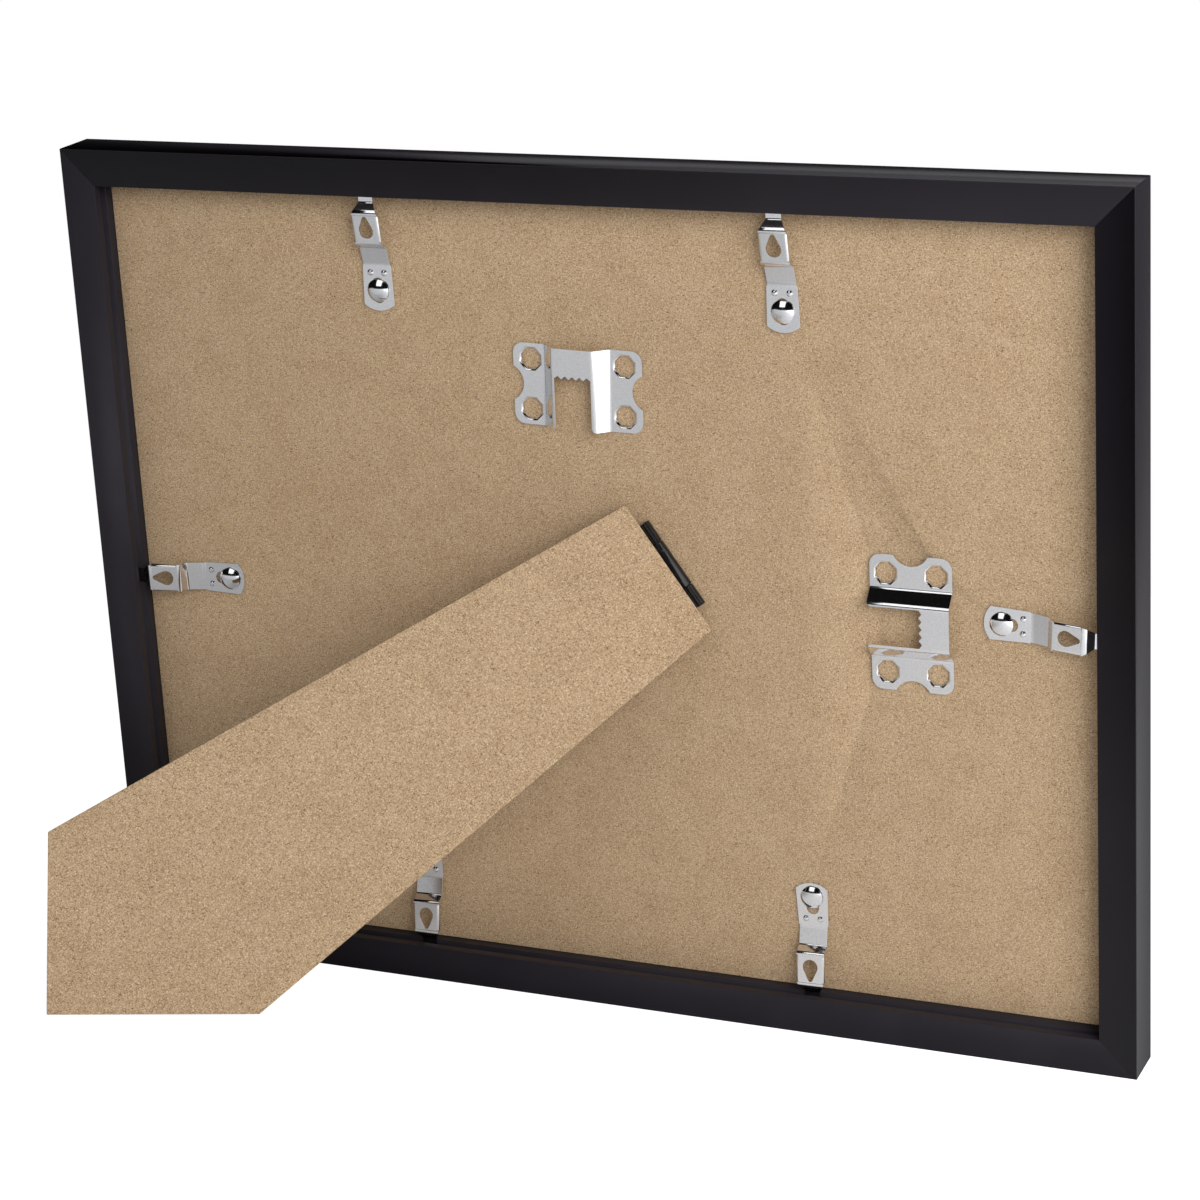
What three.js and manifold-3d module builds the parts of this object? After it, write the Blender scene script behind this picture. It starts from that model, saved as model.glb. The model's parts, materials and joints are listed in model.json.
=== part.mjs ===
// Certificate frame that stands on an easel leg or hangs on a nail, in millimetres.
// Every piece is shaped in the back view of the upright frame: x to the right and y up along the
// back face, z out of the back face, with the origin at the middle of that face.
// Left and right are named as seen from behind. The whole frame then leans back on its leg.

import * as THREE from 'three';
import { mergeVertices } from 'three/addons/utils/BufferGeometryUtils.js';
import Module from 'manifold-3d';

const wasm = await Module();
wasm.setup();

// Certificate sheet and the recess that takes it
const SHEET_WIDTH = 279.4;
const SHEET_HEIGHT = 215.9;
const SHEET_THICKNESS = 0.3;
const SHEET_SIDE_CLEARANCE = 1.2;
const SHEET_END_CLEARANCE = 0.45;
const RECESS_WIDTH = SHEET_WIDTH + 2 * SHEET_SIDE_CLEARANCE;
const RECESS_HEIGHT = SHEET_HEIGHT + 2 * SHEET_END_CLEARANCE;

// Layers in the recess, from the back towards the front
const RECESS_DEPTH = 8.25;
const BOARD_THICKNESS = 2.5;
const GLAZING_THICKNESS = 1.3;
const FRONT_LIP_THICKNESS = 1.4;
const LAYER_GAP = 0.2;
const PANEL_CLEARANCE = 0.4;
const BOARD_BACK = -RECESS_DEPTH;
const BOARD_FRONT = BOARD_BACK - BOARD_THICKNESS;
const SHEET_BACK = BOARD_FRONT - LAYER_GAP;
const SHEET_FRONT = SHEET_BACK - SHEET_THICKNESS;
const GLAZING_BACK = SHEET_FRONT - LAYER_GAP;
const GLAZING_FRONT = GLAZING_BACK - GLAZING_THICKNESS;
const LIP_BACK = GLAZING_FRONT - LAYER_GAP;
const RAIL_FRONT = LIP_BACK - FRONT_LIP_THICKNESS;

// Moulding rails
const RAIL_WIDTH = 10.1;
const FRONT_LIP_REACH = 4;
const FRONT_BEVEL = 0.8;
const EDGE_BREAK = 0.35;
const REAR_LIP = 2.6;
const GROOVE_HEIGHT = 2.8;
const GROOVE_DEPTH = 4;
const MITRE_GAP = 0.2;
const FRAME_WIDTH = RECESS_WIDTH + 2 * RAIL_WIDTH;
const FRAME_HEIGHT = RECESS_HEIGHT + 2 * RAIL_WIDTH;

// V-nails pressed into the mitres, below the back face
const NAIL_WING = 4.4;
const NAIL_SHEET = 0.5;
const NAIL_LENGTH = 7;
const NAIL_COVER = 1;
const NAIL_CLEARANCE = 0.3;
const NAIL_INSET = (RAIL_WIDTH - GROOVE_DEPTH - NAIL_SHEET) / 2;

// Gap under each fitting that lies on the board or the leg
const SEAT_GAP = 0.2;

// Spring clips: flat pad, ramp, step, raised plate, descent and tongue
const CLIP_SHEET = 0.6;
const CLIP_LENGTH = 34;
const CLIP_BEND = 0.9;
const PAD_LENGTH = 12.8;
const PAD_NECK_STATION = 12.3;
const PAD_WIDTH = 9.2;
const PAD_NECK_WIDTH = 8.5;
const PAD_END_RADIUS = 7.1;
const STRIP_WIDTH = 8;
const RAMP_RISE = 1.5;
const STEP_RUN = 1.2;
const PLATE_RUN = 8.9;
const PLATE_RISE = 1.4;
const PLATE_CORNER = 0.9;
const FLANGE_DROP = 0.9;
const FLANGE_SHEET = 0.5;
const DESCENT_RUN = 2.3;
const DESCENT_DROP = 1.7;
const TONGUE_LENGTH = 3.7;
const TONGUE_WIDTH = 4.2;
const TONGUE_CLEARANCE = 1.15;
const SLOT_WIDTH = 3.5;
const SLOT_START = 3.9;
const SLOT_END = 7.35;
const SLOT_MIDDLE = (SLOT_START + SLOT_END) / 2;
const TONGUE_REACH = 1.28;
const RIVET_INSET = CLIP_LENGTH - SLOT_MIDDLE - TONGUE_REACH;
const BUMP_STATION = 10.5;
const BUMP_SPREAD = 4.1;
const BUMP_RADIUS = 0.85;
const BUMP_HEIGHT = 0.4;
const TEAR_SETBACK = 3.8;
const TEAR_RADIUS = 2.1;
const TEAR_REACH = 3.3;
const TEAR_TIP_RADIUS = 0.7;

// Domed rivets that hold the clips
const DOME_RADIUS = 3.15;
const DOME_HEIGHT = 1.35;
const SHANK_CLEARANCE = 0.1;
const SHANK_RADIUS = SLOT_WIDTH / 2 - SHANK_CLEARANCE;
const FOOT_RADIUS = 2.6;
const FOOT_THICKNESS = 0.6;
const FOOT_RECESS = 0.3;
const FOOT_CLEARANCE = 0.3;

// Place of each clip along its rail, from the middle of the rail, and its push towards the rail
const TOP_LEFT_CLIP = -59.3;
const TOP_RIGHT_CLIP = 56.9;
const RIGHT_CLIP = 2;
const RIGHT_CLIP_PUSH = 0.85;
const BOTTOM_RIGHT_CLIP = 59.2;
const BOTTOM_RIGHT_CLIP_PUSH = 1.55;
const BOTTOM_LEFT_CLIP = -57.2;
const BOTTOM_LEFT_CLIP_PUSH = 1.35;
const LEFT_CLIP = -5.1;
const LEFT_CLIP_PUSH = 1.1;

// Sawtooth hangers
const HANGER_SHEET = 0.7;
const HANGER_SPAN = 37.2;
const HANGER_LENGTH = 22.4;
const HANGER_CORNER = 3;
const HANGER_BEND = 0.9;
const BRIDGE_FOOT_WIDTH = 18.6;
const BRIDGE_TOP_WIDTH = 11.5;
const BRIDGE_RISE = 3.5;
const BAR_WIDTH = 7.4;
const ARM_LEDGE = 0.5;
const ARM_CORNER = 1.4;
const NOTCH_COUNT = 5;
const NOTCH_DEPTH = 0.8;
const WAIST_WIDTH = 9.3;
const WAIST_DEPTH = 2.9;
const HANGER_HOLE_SPAN = 27.1;
const HANGER_HOLE_PITCH = 13.75;
const HANGER_HOLE_FLATS = 5.4;
const LANDSCAPE_HANGER_INSET = 50.75;
const LANDSCAPE_HANGER_SHIFT = -1.9;
const LANDSCAPE_HANGER_TURN = -1.4;
const PORTRAIT_HANGER_INSET = 51.35;
const PORTRAIT_HANGER_SHIFT = -0.3;

// Octagonal collars pressed into the board or the leg
const COLLAR_WALL = 0.5;
const COLLAR_CLEARANCE = 0.3;
const COLLAR_FLOOR = 0.7;

// Butt hinge between the board and the leg
const HINGE_X = 23.3;
const HINGE_Y = 10.9;
const HINGE_SHEET = 0.6;
const PIN_RADIUS = 0.6;
const PIN_CLEARANCE = 0.1;
const BARREL_RADIUS = PIN_RADIUS + PIN_CLEARANCE + HINGE_SHEET;
const HINGE_WIDTH = 26.6;
const MIDDLE_KNUCKLE = 13.8;
const KNUCKLE_GAP = 0.3;
const LEAF_LENGTH = 16;
const LEAF_HOLE_STATION = 9.5;
const LEAF_HOLE_SPREAD = 15;
const LEAF_HOLE_FLATS = 4;
const AXIS_Z = BOARD_BACK + SEAT_GAP + BARREL_RADIUS;

// Easel leg
const LEG_THICKNESS = 2.5;
const LEG_TOP_WIDTH = 40.3;
const LEG_TOP_SETBACK = 1.9;
const LEG_TAPER = 5.3;
const LEG_SLANT = 35.2;
const LEG_OPENING = 34.5;
const FOOT_EDGE_CLEARANCE = 0.5;

// Steps on round stretches
const ROUND_STEPS = 16;
const BEND_STEPS = 4;

const toRadians = THREE.MathUtils.degToRad;

// Colours, roughness and metalness of each finish
const FINISHES = {
  moulding: { color: 0x25232a, roughness: 0.55, metalness: 0 },
  fibreboard: { color: 0xb3997b, roughness: 0.9, metalness: 0 },
  plated: { color: 0xc4c4c6, roughness: 0.25, metalness: 1 },
  nail: { color: 0x8d9096, roughness: 0.45, metalness: 1 },
  blackMetal: { color: 0x141416, roughness: 0.2, metalness: 0.3 },
  paper: { color: 0xf1ead6, roughness: 0.9, metalness: 0 },
  clear: { color: 0xdfe9ec, roughness: 0.05, metalness: 0, transparent: true, opacity: 0.35 },
};

// Turns a closed geometry into a solid; triangles that collapse on the axis of a lathe are dropped
function solidOf(geometry) {
  const bare = geometry.clone();
  bare.deleteAttribute('normal');
  bare.deleteAttribute('uv');
  const merged = mergeVertices(bare, 1e-5);
  const corners = merged.index.array;
  const kept = [];
  for (let i = 0; i < corners.length; i += 3) {
    const [a, b, c] = [corners[i], corners[i + 1], corners[i + 2]];
    if (a !== b && b !== c && c !== a) {
      kept.push(a, b, c);
    }
  }
  const vertProperties = new Float32Array(merged.attributes.position.array);
  return new wasm.Manifold(new wasm.Mesh({ numProp: 3, vertProperties, triVerts: new Uint32Array(kept) }));
}

function geometryOf(solid) {
  const mesh = solid.getMesh();
  const geometry = new THREE.BufferGeometry();
  geometry.setAttribute('position', new THREE.BufferAttribute(mesh.vertProperties, 3));
  geometry.setIndex(new THREE.BufferAttribute(mesh.triVerts, 1));
  geometry.computeVertexNormals();
  return geometry;
}

// A flat shape given thickness between two heights
function slab(shape, low, high) {
  const geometry = new THREE.ExtrudeGeometry(shape, {
    depth: high - low,
    bevelEnabled: false,
    curveSegments: ROUND_STEPS,
  });
  return solidOf(geometry.translate(0, 0, low));
}

// A side view in x and z, drawn as a shape in x and y, given a width that is centred on y
function sideSlab(shape, width, middle = 0) {
  const geometry = new THREE.ExtrudeGeometry(shape, {
    depth: width,
    bevelEnabled: false,
    curveSegments: ROUND_STEPS,
  });
  return solidOf(geometry.rotateX(Math.PI / 2).translate(0, middle + width / 2, 0));
}

function block(lowX, highX, lowY, highY, lowZ, highZ) {
  const geometry = new THREE.BoxGeometry(highX - lowX, highY - lowY, highZ - lowZ);
  return solidOf(geometry.translate((lowX + highX) / 2, (lowY + highY) / 2, (lowZ + highZ) / 2));
}

// A solid of revolution about z from a profile of radius and height
function turned(profile, steps = ROUND_STEPS) {
  const points = profile.map(([radius, height]) => new THREE.Vector2(radius, height));
  return solidOf(new THREE.LatheGeometry(points, steps).rotateX(Math.PI / 2));
}

function disc(radius, low, high) {
  return turned([[0, low], [radius, low], [radius, high], [0, high]]);
}

function octagon(flats, low, high) {
  const radius = flats / 2 / Math.cos(Math.PI / 8);
  const prism = new THREE.CylinderGeometry(radius, radius, high - low, 8);
  return solidOf(prism.rotateX(Math.PI / 2).rotateZ(Math.PI / 8).translate(0, 0, (low + high) / 2));
}

function polygon(points) {
  return new THREE.Shape(points.map(([x, y]) => new THREE.Vector2(x, y)));
}

// Rounds the inner corners of a path with short curves that start one bend length from each corner
function roundedPath(points, bend) {
  const path = points.map(([x, y]) => new THREE.Vector2(x, y));
  const rounded = [path[0]];
  for (let i = 1; i < path.length - 1; i += 1) {
    const before = Math.min(bend, path[i].distanceTo(path[i - 1]) * 0.45);
    const after = Math.min(bend, path[i].distanceTo(path[i + 1]) * 0.45);
    const start = path[i].clone().lerp(path[i - 1], before / path[i].distanceTo(path[i - 1]));
    const end = path[i].clone().lerp(path[i + 1], after / path[i].distanceTo(path[i + 1]));
    rounded.push(...new THREE.QuadraticBezierCurve(start, path[i], end).getPoints(BEND_STEPS));
  }
  rounded.push(path[path.length - 1]);
  return rounded;
}

// The outline of bent sheet metal: a path along the middle of the sheet, widened by half a sheet each way
function sheetOutline(points, sheet, bend) {
  const path = roundedPath(points, bend);
  const upper = [];
  const lower = [];
  path.forEach((point, i) => {
    const ahead = path[Math.min(i + 1, path.length - 1)];
    const behind = path[Math.max(i - 1, 0)];
    const along = ahead.clone().sub(behind).normalize();
    const across = new THREE.Vector2(-along.y, along.x).multiplyScalar(sheet / 2);
    upper.push(point.clone().add(across));
    lower.unshift(point.clone().sub(across));
  });
  return new THREE.Shape([...upper, ...lower]);
}

function movedBy(solid, x, y, z = 0) {
  return solid.translate([x, y, z]);
}

function meshOf(name, solid, finish) {
  const mesh = new THREE.Mesh(geometryOf(solid), new THREE.MeshStandardMaterial(FINISHES[finish]));
  mesh.name = name;
  return mesh;
}

// The moulding's section: u runs from the outer side inwards, v out of the back face
function railSection() {
  const innerLip = RAIL_WIDTH + FRONT_LIP_REACH;
  return polygon([
    [EDGE_BREAK, 0],
    [0, -EDGE_BREAK],
    [0, RAIL_FRONT + EDGE_BREAK],
    [EDGE_BREAK, RAIL_FRONT],
    [innerLip - FRONT_BEVEL, RAIL_FRONT],
    [innerLip, RAIL_FRONT + FRONT_BEVEL],
    [innerLip, LIP_BACK],
    [RAIL_WIDTH, LIP_BACK],
    [RAIL_WIDTH, -REAR_LIP - GROOVE_HEIGHT],
    [RAIL_WIDTH - GROOVE_DEPTH, -REAR_LIP - GROOVE_HEIGHT],
    [RAIL_WIDTH - GROOVE_DEPTH, -REAR_LIP],
    [RAIL_WIDTH, -REAR_LIP],
    [RAIL_WIDTH, 0],
  ]);
}

// The V of a corner nail in plan, from its apex, with its wings along the two rails
function nailPlan(spare) {
  const inner = NAIL_SHEET + spare;
  const tip = NAIL_WING + spare;
  return polygon([
    [-spare, -spare],
    [tip, -spare],
    [tip, inner],
    [inner, inner],
    [inner, tip],
    [-spare, tip],
  ]);
}

// A rail along x with its outer side at y = 0 and its body towards +y, mitred and slotted at both ends
function railSolid(length) {
  const reach = RAIL_WIDTH + FRONT_LIP_REACH;
  const short = MITRE_GAP / Math.SQRT2;
  const half = length / 2;
  const plan = polygon([
    [short - half, 0],
    [half - short, 0],
    [half - short - reach, reach],
    [short + reach - half, reach],
  ]);
  const bar = new THREE.ExtrudeGeometry(railSection(), { depth: length, bevelEnabled: false });
  bar.rotateX(Math.PI / 2).rotateZ(Math.PI / 2).translate(-half, 0, 0);
  const slotFloor = -NAIL_COVER - NAIL_LENGTH - NAIL_CLEARANCE;
  const nailSlot = slab(nailPlan(NAIL_CLEARANCE), slotFloor, NAIL_CLEARANCE - NAIL_COVER);
  const leftSlot = movedBy(nailSlot, NAIL_INSET - half, NAIL_INSET);
  const rightSlot = leftSlot.mirror([1, 0, 0]);
  return solidOf(bar)
    .intersect(slab(plan, RAIL_FRONT - 1, 1))
    .subtract(leftSlot)
    .subtract(rightSlot);
}

function makeRails() {
  const rails = new THREE.Group();
  const places = [
    { name: 'bottom_rail', length: FRAME_WIDTH, out: FRAME_HEIGHT / 2, turn: 0 },
    { name: 'right_rail', length: FRAME_HEIGHT, out: FRAME_WIDTH / 2, turn: Math.PI / 2 },
    { name: 'top_rail', length: FRAME_WIDTH, out: FRAME_HEIGHT / 2, turn: Math.PI },
    { name: 'left_rail', length: FRAME_HEIGHT, out: FRAME_WIDTH / 2, turn: -Math.PI / 2 },
  ];
  for (const { name, length, out, turn } of places) {
    const rail = meshOf(name, railSolid(length), 'moulding');
    rail.rotation.z = turn;
    rail.position.set(out * Math.sin(turn), -out * Math.cos(turn), 0);
    rails.add(rail);
  }
  return rails;
}

function makeCornerNails() {
  const nails = new THREE.Group();
  const nail = slab(nailPlan(0), -NAIL_COVER - NAIL_LENGTH, -NAIL_COVER);
  const places = [
    { name: 'corner_nail_bottom_left', x: -1, y: -1 },
    { name: 'corner_nail_bottom_right', x: 1, y: -1 },
    { name: 'corner_nail_top_right', x: 1, y: 1 },
    { name: 'corner_nail_top_left', x: -1, y: 1 },
  ];
  places.forEach(({ name, x, y }, quarter) => {
    const mesh = meshOf(name, nail, 'nail');
    mesh.rotation.z = quarter * Math.PI / 2;
    mesh.position.set(x * (FRAME_WIDTH / 2 - NAIL_INSET), y * (FRAME_HEIGHT / 2 - NAIL_INSET), 0);
    nails.add(mesh);
  });
  return nails;
}

// Height of the top of each stretch of a clip
const PAD_TOP = BOARD_BACK + SEAT_GAP + CLIP_SHEET;
const TONGUE_TOP = -REAR_LIP - TONGUE_CLEARANCE;
const PLATE_END_TOP = TONGUE_TOP + DESCENT_DROP;
const PLATE_START_TOP = PLATE_END_TOP - PLATE_RISE;

// Distance of each bend of a clip from the end of its pad; the ramp takes up the clip's length
const TONGUE_START = CLIP_LENGTH - TONGUE_LENGTH;
const PLATE_END = TONGUE_START - DESCENT_RUN;
const PLATE_START = PLATE_END - PLATE_RUN;
const RAMP_END = PLATE_START - STEP_RUN;
const TEAR_STATION = PLATE_START + TEAR_SETBACK;

// The clip lies along +x from the end of its pad at x = 0
function clipPlan() {
  const cornerX = PAD_END_RADIUS - Math.sqrt(PAD_END_RADIUS ** 2 - (PAD_WIDTH / 2) ** 2);
  const arc = Math.asin(PAD_WIDTH / 2 / PAD_END_RADIUS);
  const plan = new THREE.Shape();
  plan.moveTo(cornerX, PAD_WIDTH / 2);
  plan.absarc(PAD_END_RADIUS, 0, PAD_END_RADIUS, Math.PI - arc, Math.PI + arc, false);
  plan.lineTo(PAD_NECK_STATION, -PAD_NECK_WIDTH / 2);
  plan.lineTo(PAD_NECK_STATION, -STRIP_WIDTH / 2);
  plan.lineTo(PLATE_END - PLATE_CORNER, -STRIP_WIDTH / 2);
  plan.lineTo(PLATE_END, PLATE_CORNER / 2 - STRIP_WIDTH / 2);
  plan.lineTo(TONGUE_START, -TONGUE_WIDTH / 2);
  plan.lineTo(CLIP_LENGTH - CLIP_SHEET, -TONGUE_WIDTH / 2);
  plan.lineTo(CLIP_LENGTH, CLIP_SHEET - TONGUE_WIDTH / 2);
  plan.lineTo(CLIP_LENGTH, TONGUE_WIDTH / 2 - CLIP_SHEET);
  plan.lineTo(CLIP_LENGTH - CLIP_SHEET, TONGUE_WIDTH / 2);
  plan.lineTo(TONGUE_START, TONGUE_WIDTH / 2);
  plan.lineTo(PLATE_END, STRIP_WIDTH / 2 - PLATE_CORNER / 2);
  plan.lineTo(PLATE_END - PLATE_CORNER, STRIP_WIDTH / 2);
  plan.lineTo(PAD_NECK_STATION, STRIP_WIDTH / 2);
  plan.lineTo(PAD_NECK_STATION, PAD_NECK_WIDTH / 2);
  return plan;
}

function slotPlan() {
  const slot = new THREE.Shape();
  slot.absarc(SLOT_START, 0, SLOT_WIDTH / 2, Math.PI / 2, 3 * Math.PI / 2, false);
  slot.absarc(SLOT_END, 0, SLOT_WIDTH / 2, -Math.PI / 2, Math.PI / 2, false);
  return slot;
}

function teardropPlan() {
  const side = Math.acos((TEAR_RADIUS - TEAR_TIP_RADIUS) / TEAR_REACH);
  const tear = new THREE.Shape();
  tear.absarc(TEAR_STATION, 0, TEAR_RADIUS, side, 2 * Math.PI - side, false);
  tear.absarc(TEAR_STATION + TEAR_REACH, 0, TEAR_TIP_RADIUS, -side, side, false);
  return tear;
}

// The two sides of the raised plate are turned down over a short height
function flangeSolid(side) {
  const slope = PLATE_RISE / PLATE_RUN;
  const start = PLATE_START + CLIP_BEND;
  const end = PLATE_END - PLATE_CORNER;
  const startTop = PLATE_START_TOP + slope * (start - PLATE_START) - CLIP_SHEET / 2;
  const endTop = PLATE_START_TOP + slope * (end - PLATE_START) - CLIP_SHEET / 2;
  const drop = CLIP_SHEET / 2 + FLANGE_DROP;
  const view = polygon([[start, startTop], [start, startTop - drop], [end, endTop - drop], [end, endTop]]);
  return sideSlab(view, FLANGE_SHEET, side * (STRIP_WIDTH - FLANGE_SHEET) / 2);
}

function bumpSolid() {
  return turned([
    [0, -CLIP_SHEET / 2],
    [BUMP_RADIUS, -CLIP_SHEET / 2],
    [BUMP_RADIUS, 0],
    [BUMP_RADIUS * 0.75, BUMP_HEIGHT * 0.65],
    [0, BUMP_HEIGHT],
  ], ROUND_STEPS / 2);
}

function clipSolid() {
  const middle = -CLIP_SHEET / 2;
  const strip = sideSlab(sheetOutline([
    [0, PAD_TOP + middle],
    [PAD_LENGTH, PAD_TOP + middle],
    [RAMP_END, PAD_TOP + RAMP_RISE + middle],
    [PLATE_START, PLATE_START_TOP + middle],
    [PLATE_END, PLATE_END_TOP + middle],
    [TONGUE_START, TONGUE_TOP + middle],
    [CLIP_LENGTH, TONGUE_TOP + middle],
  ], CLIP_SHEET, CLIP_BEND), PAD_WIDTH + 2);
  const bump = movedBy(bumpSolid(), BUMP_STATION, BUMP_SPREAD / 2, PAD_TOP);
  return strip
    .intersect(slab(clipPlan(), BOARD_BACK, 0))
    .subtract(slab(slotPlan(), BOARD_BACK, 0))
    .add(flangeSolid(1))
    .add(flangeSolid(-1))
    .subtract(slab(teardropPlan(), BOARD_BACK, 0))
    .add(bump)
    .add(bump.mirror([0, 1, 0]));
}

// Rivet on the z axis: foot clinched in the front of the board, shank through board and slot, dome outside
function rivetSolid() {
  const footFront = BOARD_FRONT + FOOT_RECESS;
  const domeBase = PAD_TOP + SEAT_GAP;
  const dome = [];
  const sphere = (DOME_RADIUS ** 2 + DOME_HEIGHT ** 2) / (2 * DOME_HEIGHT);
  const rim = Math.asin(DOME_RADIUS / sphere);
  const rings = BEND_STEPS + 1;
  for (let i = 0; i < rings; i += 1) {
    const angle = rim * (1 - i / rings);
    const height = domeBase + DOME_HEIGHT - sphere * (1 - Math.cos(angle));
    dome.push([sphere * Math.sin(angle), height]);
  }
  return turned([
    [0, footFront],
    [FOOT_RADIUS, footFront],
    [FOOT_RADIUS, footFront + FOOT_THICKNESS],
    [SHANK_RADIUS, footFront + FOOT_THICKNESS],
    [SHANK_RADIUS, domeBase],
    ...dome,
    [0, domeBase + DOME_HEIGHT],
  ]);
}

// Where each clip sits: the rail that it reaches to, its place along that rail, how far it is pushed out
// from the middle of its slot, and how far it is turned out of square
const CLIPS = [
  { place: 'top_left', towards: 90, along: TOP_LEFT_CLIP, push: 0, turn: 0 },
  { place: 'top_right', towards: 90, along: TOP_RIGHT_CLIP, push: 0, turn: 0.6 },
  { place: 'right', towards: 0, along: RIGHT_CLIP, push: RIGHT_CLIP_PUSH, turn: -2.4 },
  { place: 'bottom_right', towards: -90, along: BOTTOM_RIGHT_CLIP, push: BOTTOM_RIGHT_CLIP_PUSH, turn: 1.5 },
  { place: 'bottom_left', towards: -90, along: BOTTOM_LEFT_CLIP, push: BOTTOM_LEFT_CLIP_PUSH, turn: 1.5 },
  { place: 'left', towards: 180, along: LEFT_CLIP, push: LEFT_CLIP_PUSH, turn: 0 },
];

function rivetPoint({ towards, along }) {
  const upright = towards === 90 || towards === -90;
  const reach = (upright ? RECESS_HEIGHT : RECESS_WIDTH) / 2 - RIVET_INSET;
  const sign = towards === 90 || towards === 0 ? 1 : -1;
  return upright ? [along, sign * reach] : [sign * reach, along];
}

function makeClips() {
  const clips = new THREE.Group();
  const clip = clipSolid();
  const rivet = rivetSolid();
  for (const spec of CLIPS) {
    const seat = new THREE.Group();
    const [x, y] = rivetPoint(spec);
    seat.name = `seat_${spec.place}`;
    seat.position.set(x, y, 0);
    seat.rotation.z = toRadians(spec.towards + spec.turn);
    seat.add(meshOf(`rivet_${spec.place}`, rivet, 'plated'));
    seat.add(meshOf(`clip_${spec.place}`, movedBy(clip, spec.push - SLOT_MIDDLE, 0), 'plated'));
    clips.add(seat);
  }
  return clips;
}

// Where each hanger sits and how far it is turned; the bar is on its +y side before it is turned
const HANGERS = [
  {
    name: 'hanger_landscape',
    x: LANDSCAPE_HANGER_SHIFT,
    y: RECESS_HEIGHT / 2 - LANDSCAPE_HANGER_INSET,
    turn: LANDSCAPE_HANGER_TURN,
  },
  {
    name: 'hanger_portrait',
    x: RECESS_WIDTH / 2 - PORTRAIT_HANGER_INSET,
    y: PORTRAIT_HANGER_SHIFT,
    turn: -90,
  },
];

function holePlaces(spread, pitch) {
  return [[1, 1], [-1, 1], [-1, -1], [1, -1]].map(([x, y]) => [x * spread / 2, y * pitch / 2]);
}

// Rounded plate with a waist drawn in on both of its short sides
function hangerPlan() {
  const halfSpan = HANGER_SPAN / 2;
  const halfLength = HANGER_LENGTH / 2;
  const radius = HANGER_CORNER;
  const waist = ((WAIST_WIDTH / 2) ** 2 + WAIST_DEPTH ** 2) / (2 * WAIST_DEPTH);
  const centre = halfSpan - WAIST_DEPTH + waist;
  const arc = Math.asin(WAIST_WIDTH / 2 / waist);
  const plan = new THREE.Shape();
  plan.moveTo(radius - halfSpan, -halfLength);
  plan.absarc(halfSpan - radius, radius - halfLength, radius, -Math.PI / 2, 0, false);
  plan.absarc(centre, 0, waist, Math.PI + arc, Math.PI - arc, true);
  plan.absarc(halfSpan - radius, halfLength - radius, radius, 0, Math.PI / 2, false);
  plan.absarc(radius - halfSpan, halfLength - radius, radius, Math.PI / 2, Math.PI, false);
  plan.absarc(-centre, 0, waist, arc, -arc, true);
  plan.absarc(radius - halfSpan, radius - halfLength, radius, Math.PI, 3 * Math.PI / 2, false);
  return plan;
}

// The cut-out that is open at the foot of the bridge, where it rounds the arms' corners, and ends in
// nail notches under the bar
function nailOpeningPlan() {
  const half = BRIDGE_TOP_WIDTH / 2 - ARM_LEDGE;
  const barEdge = HANGER_LENGTH / 2 - BAR_WIDTH;
  const toothTip = barEdge - NOTCH_DEPTH;
  const pitch = 2 * half / NOTCH_COUNT;
  const mouth = -HANGER_LENGTH / 2 + ARM_CORNER;
  const plan = new THREE.Shape();
  plan.moveTo(half + ARM_CORNER, -HANGER_LENGTH);
  plan.absarc(half + ARM_CORNER, mouth, ARM_CORNER, -Math.PI / 2, -Math.PI, true);
  plan.lineTo(half, toothTip);
  for (let i = 0; i < NOTCH_COUNT; i += 1) {
    const right = half - i * pitch;
    plan.lineTo(right - pitch / 2, barEdge);
    plan.lineTo(right - pitch, toothTip);
  }
  plan.absarc(-half - ARM_CORNER, mouth, ARM_CORNER, 0, -Math.PI / 2, true);
  plan.lineTo(-half - ARM_CORNER, -HANGER_LENGTH);
  return plan;
}

function hangerSolid() {
  const flangeMiddle = BOARD_BACK + SEAT_GAP + HANGER_SHEET / 2;
  const bridgeMiddle = flangeMiddle + BRIDGE_RISE;
  let hanger = sideSlab(sheetOutline([
    [-HANGER_SPAN / 2, flangeMiddle],
    [-BRIDGE_FOOT_WIDTH / 2, flangeMiddle],
    [-BRIDGE_TOP_WIDTH / 2, bridgeMiddle],
    [BRIDGE_TOP_WIDTH / 2, bridgeMiddle],
    [BRIDGE_FOOT_WIDTH / 2, flangeMiddle],
    [HANGER_SPAN / 2, flangeMiddle],
  ], HANGER_SHEET, HANGER_BEND), HANGER_LENGTH + 2);
  hanger = hanger
    .intersect(slab(hangerPlan(), BOARD_BACK, 0))
    .subtract(slab(nailOpeningPlan(), BOARD_BACK, 0));
  const collar = octagon(HANGER_HOLE_FLATS + 2 * COLLAR_WALL, BOARD_FRONT + COLLAR_FLOOR, flangeMiddle);
  const bore = octagon(HANGER_HOLE_FLATS, BOARD_FRONT, 0);
  for (const [x, y] of holePlaces(HANGER_HOLE_SPAN, HANGER_HOLE_PITCH)) {
    hanger = hanger.add(movedBy(collar, x, y)).subtract(movedBy(bore, x, y));
  }
  return hanger;
}

function makeHangers() {
  const hangers = new THREE.Group();
  const solid = hangerSolid();
  for (const { name, x, y, turn } of HANGERS) {
    const hanger = meshOf(name, solid, 'plated');
    hanger.position.set(x, y, 0);
    hanger.rotation.z = toRadians(turn);
    hangers.add(hanger);
  }
  return hangers;
}

// Angle on the back view of the line from the hinge to the foot of the closed leg
const LEG_DIRECTION = Math.PI + toRadians(LEG_SLANT);

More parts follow.
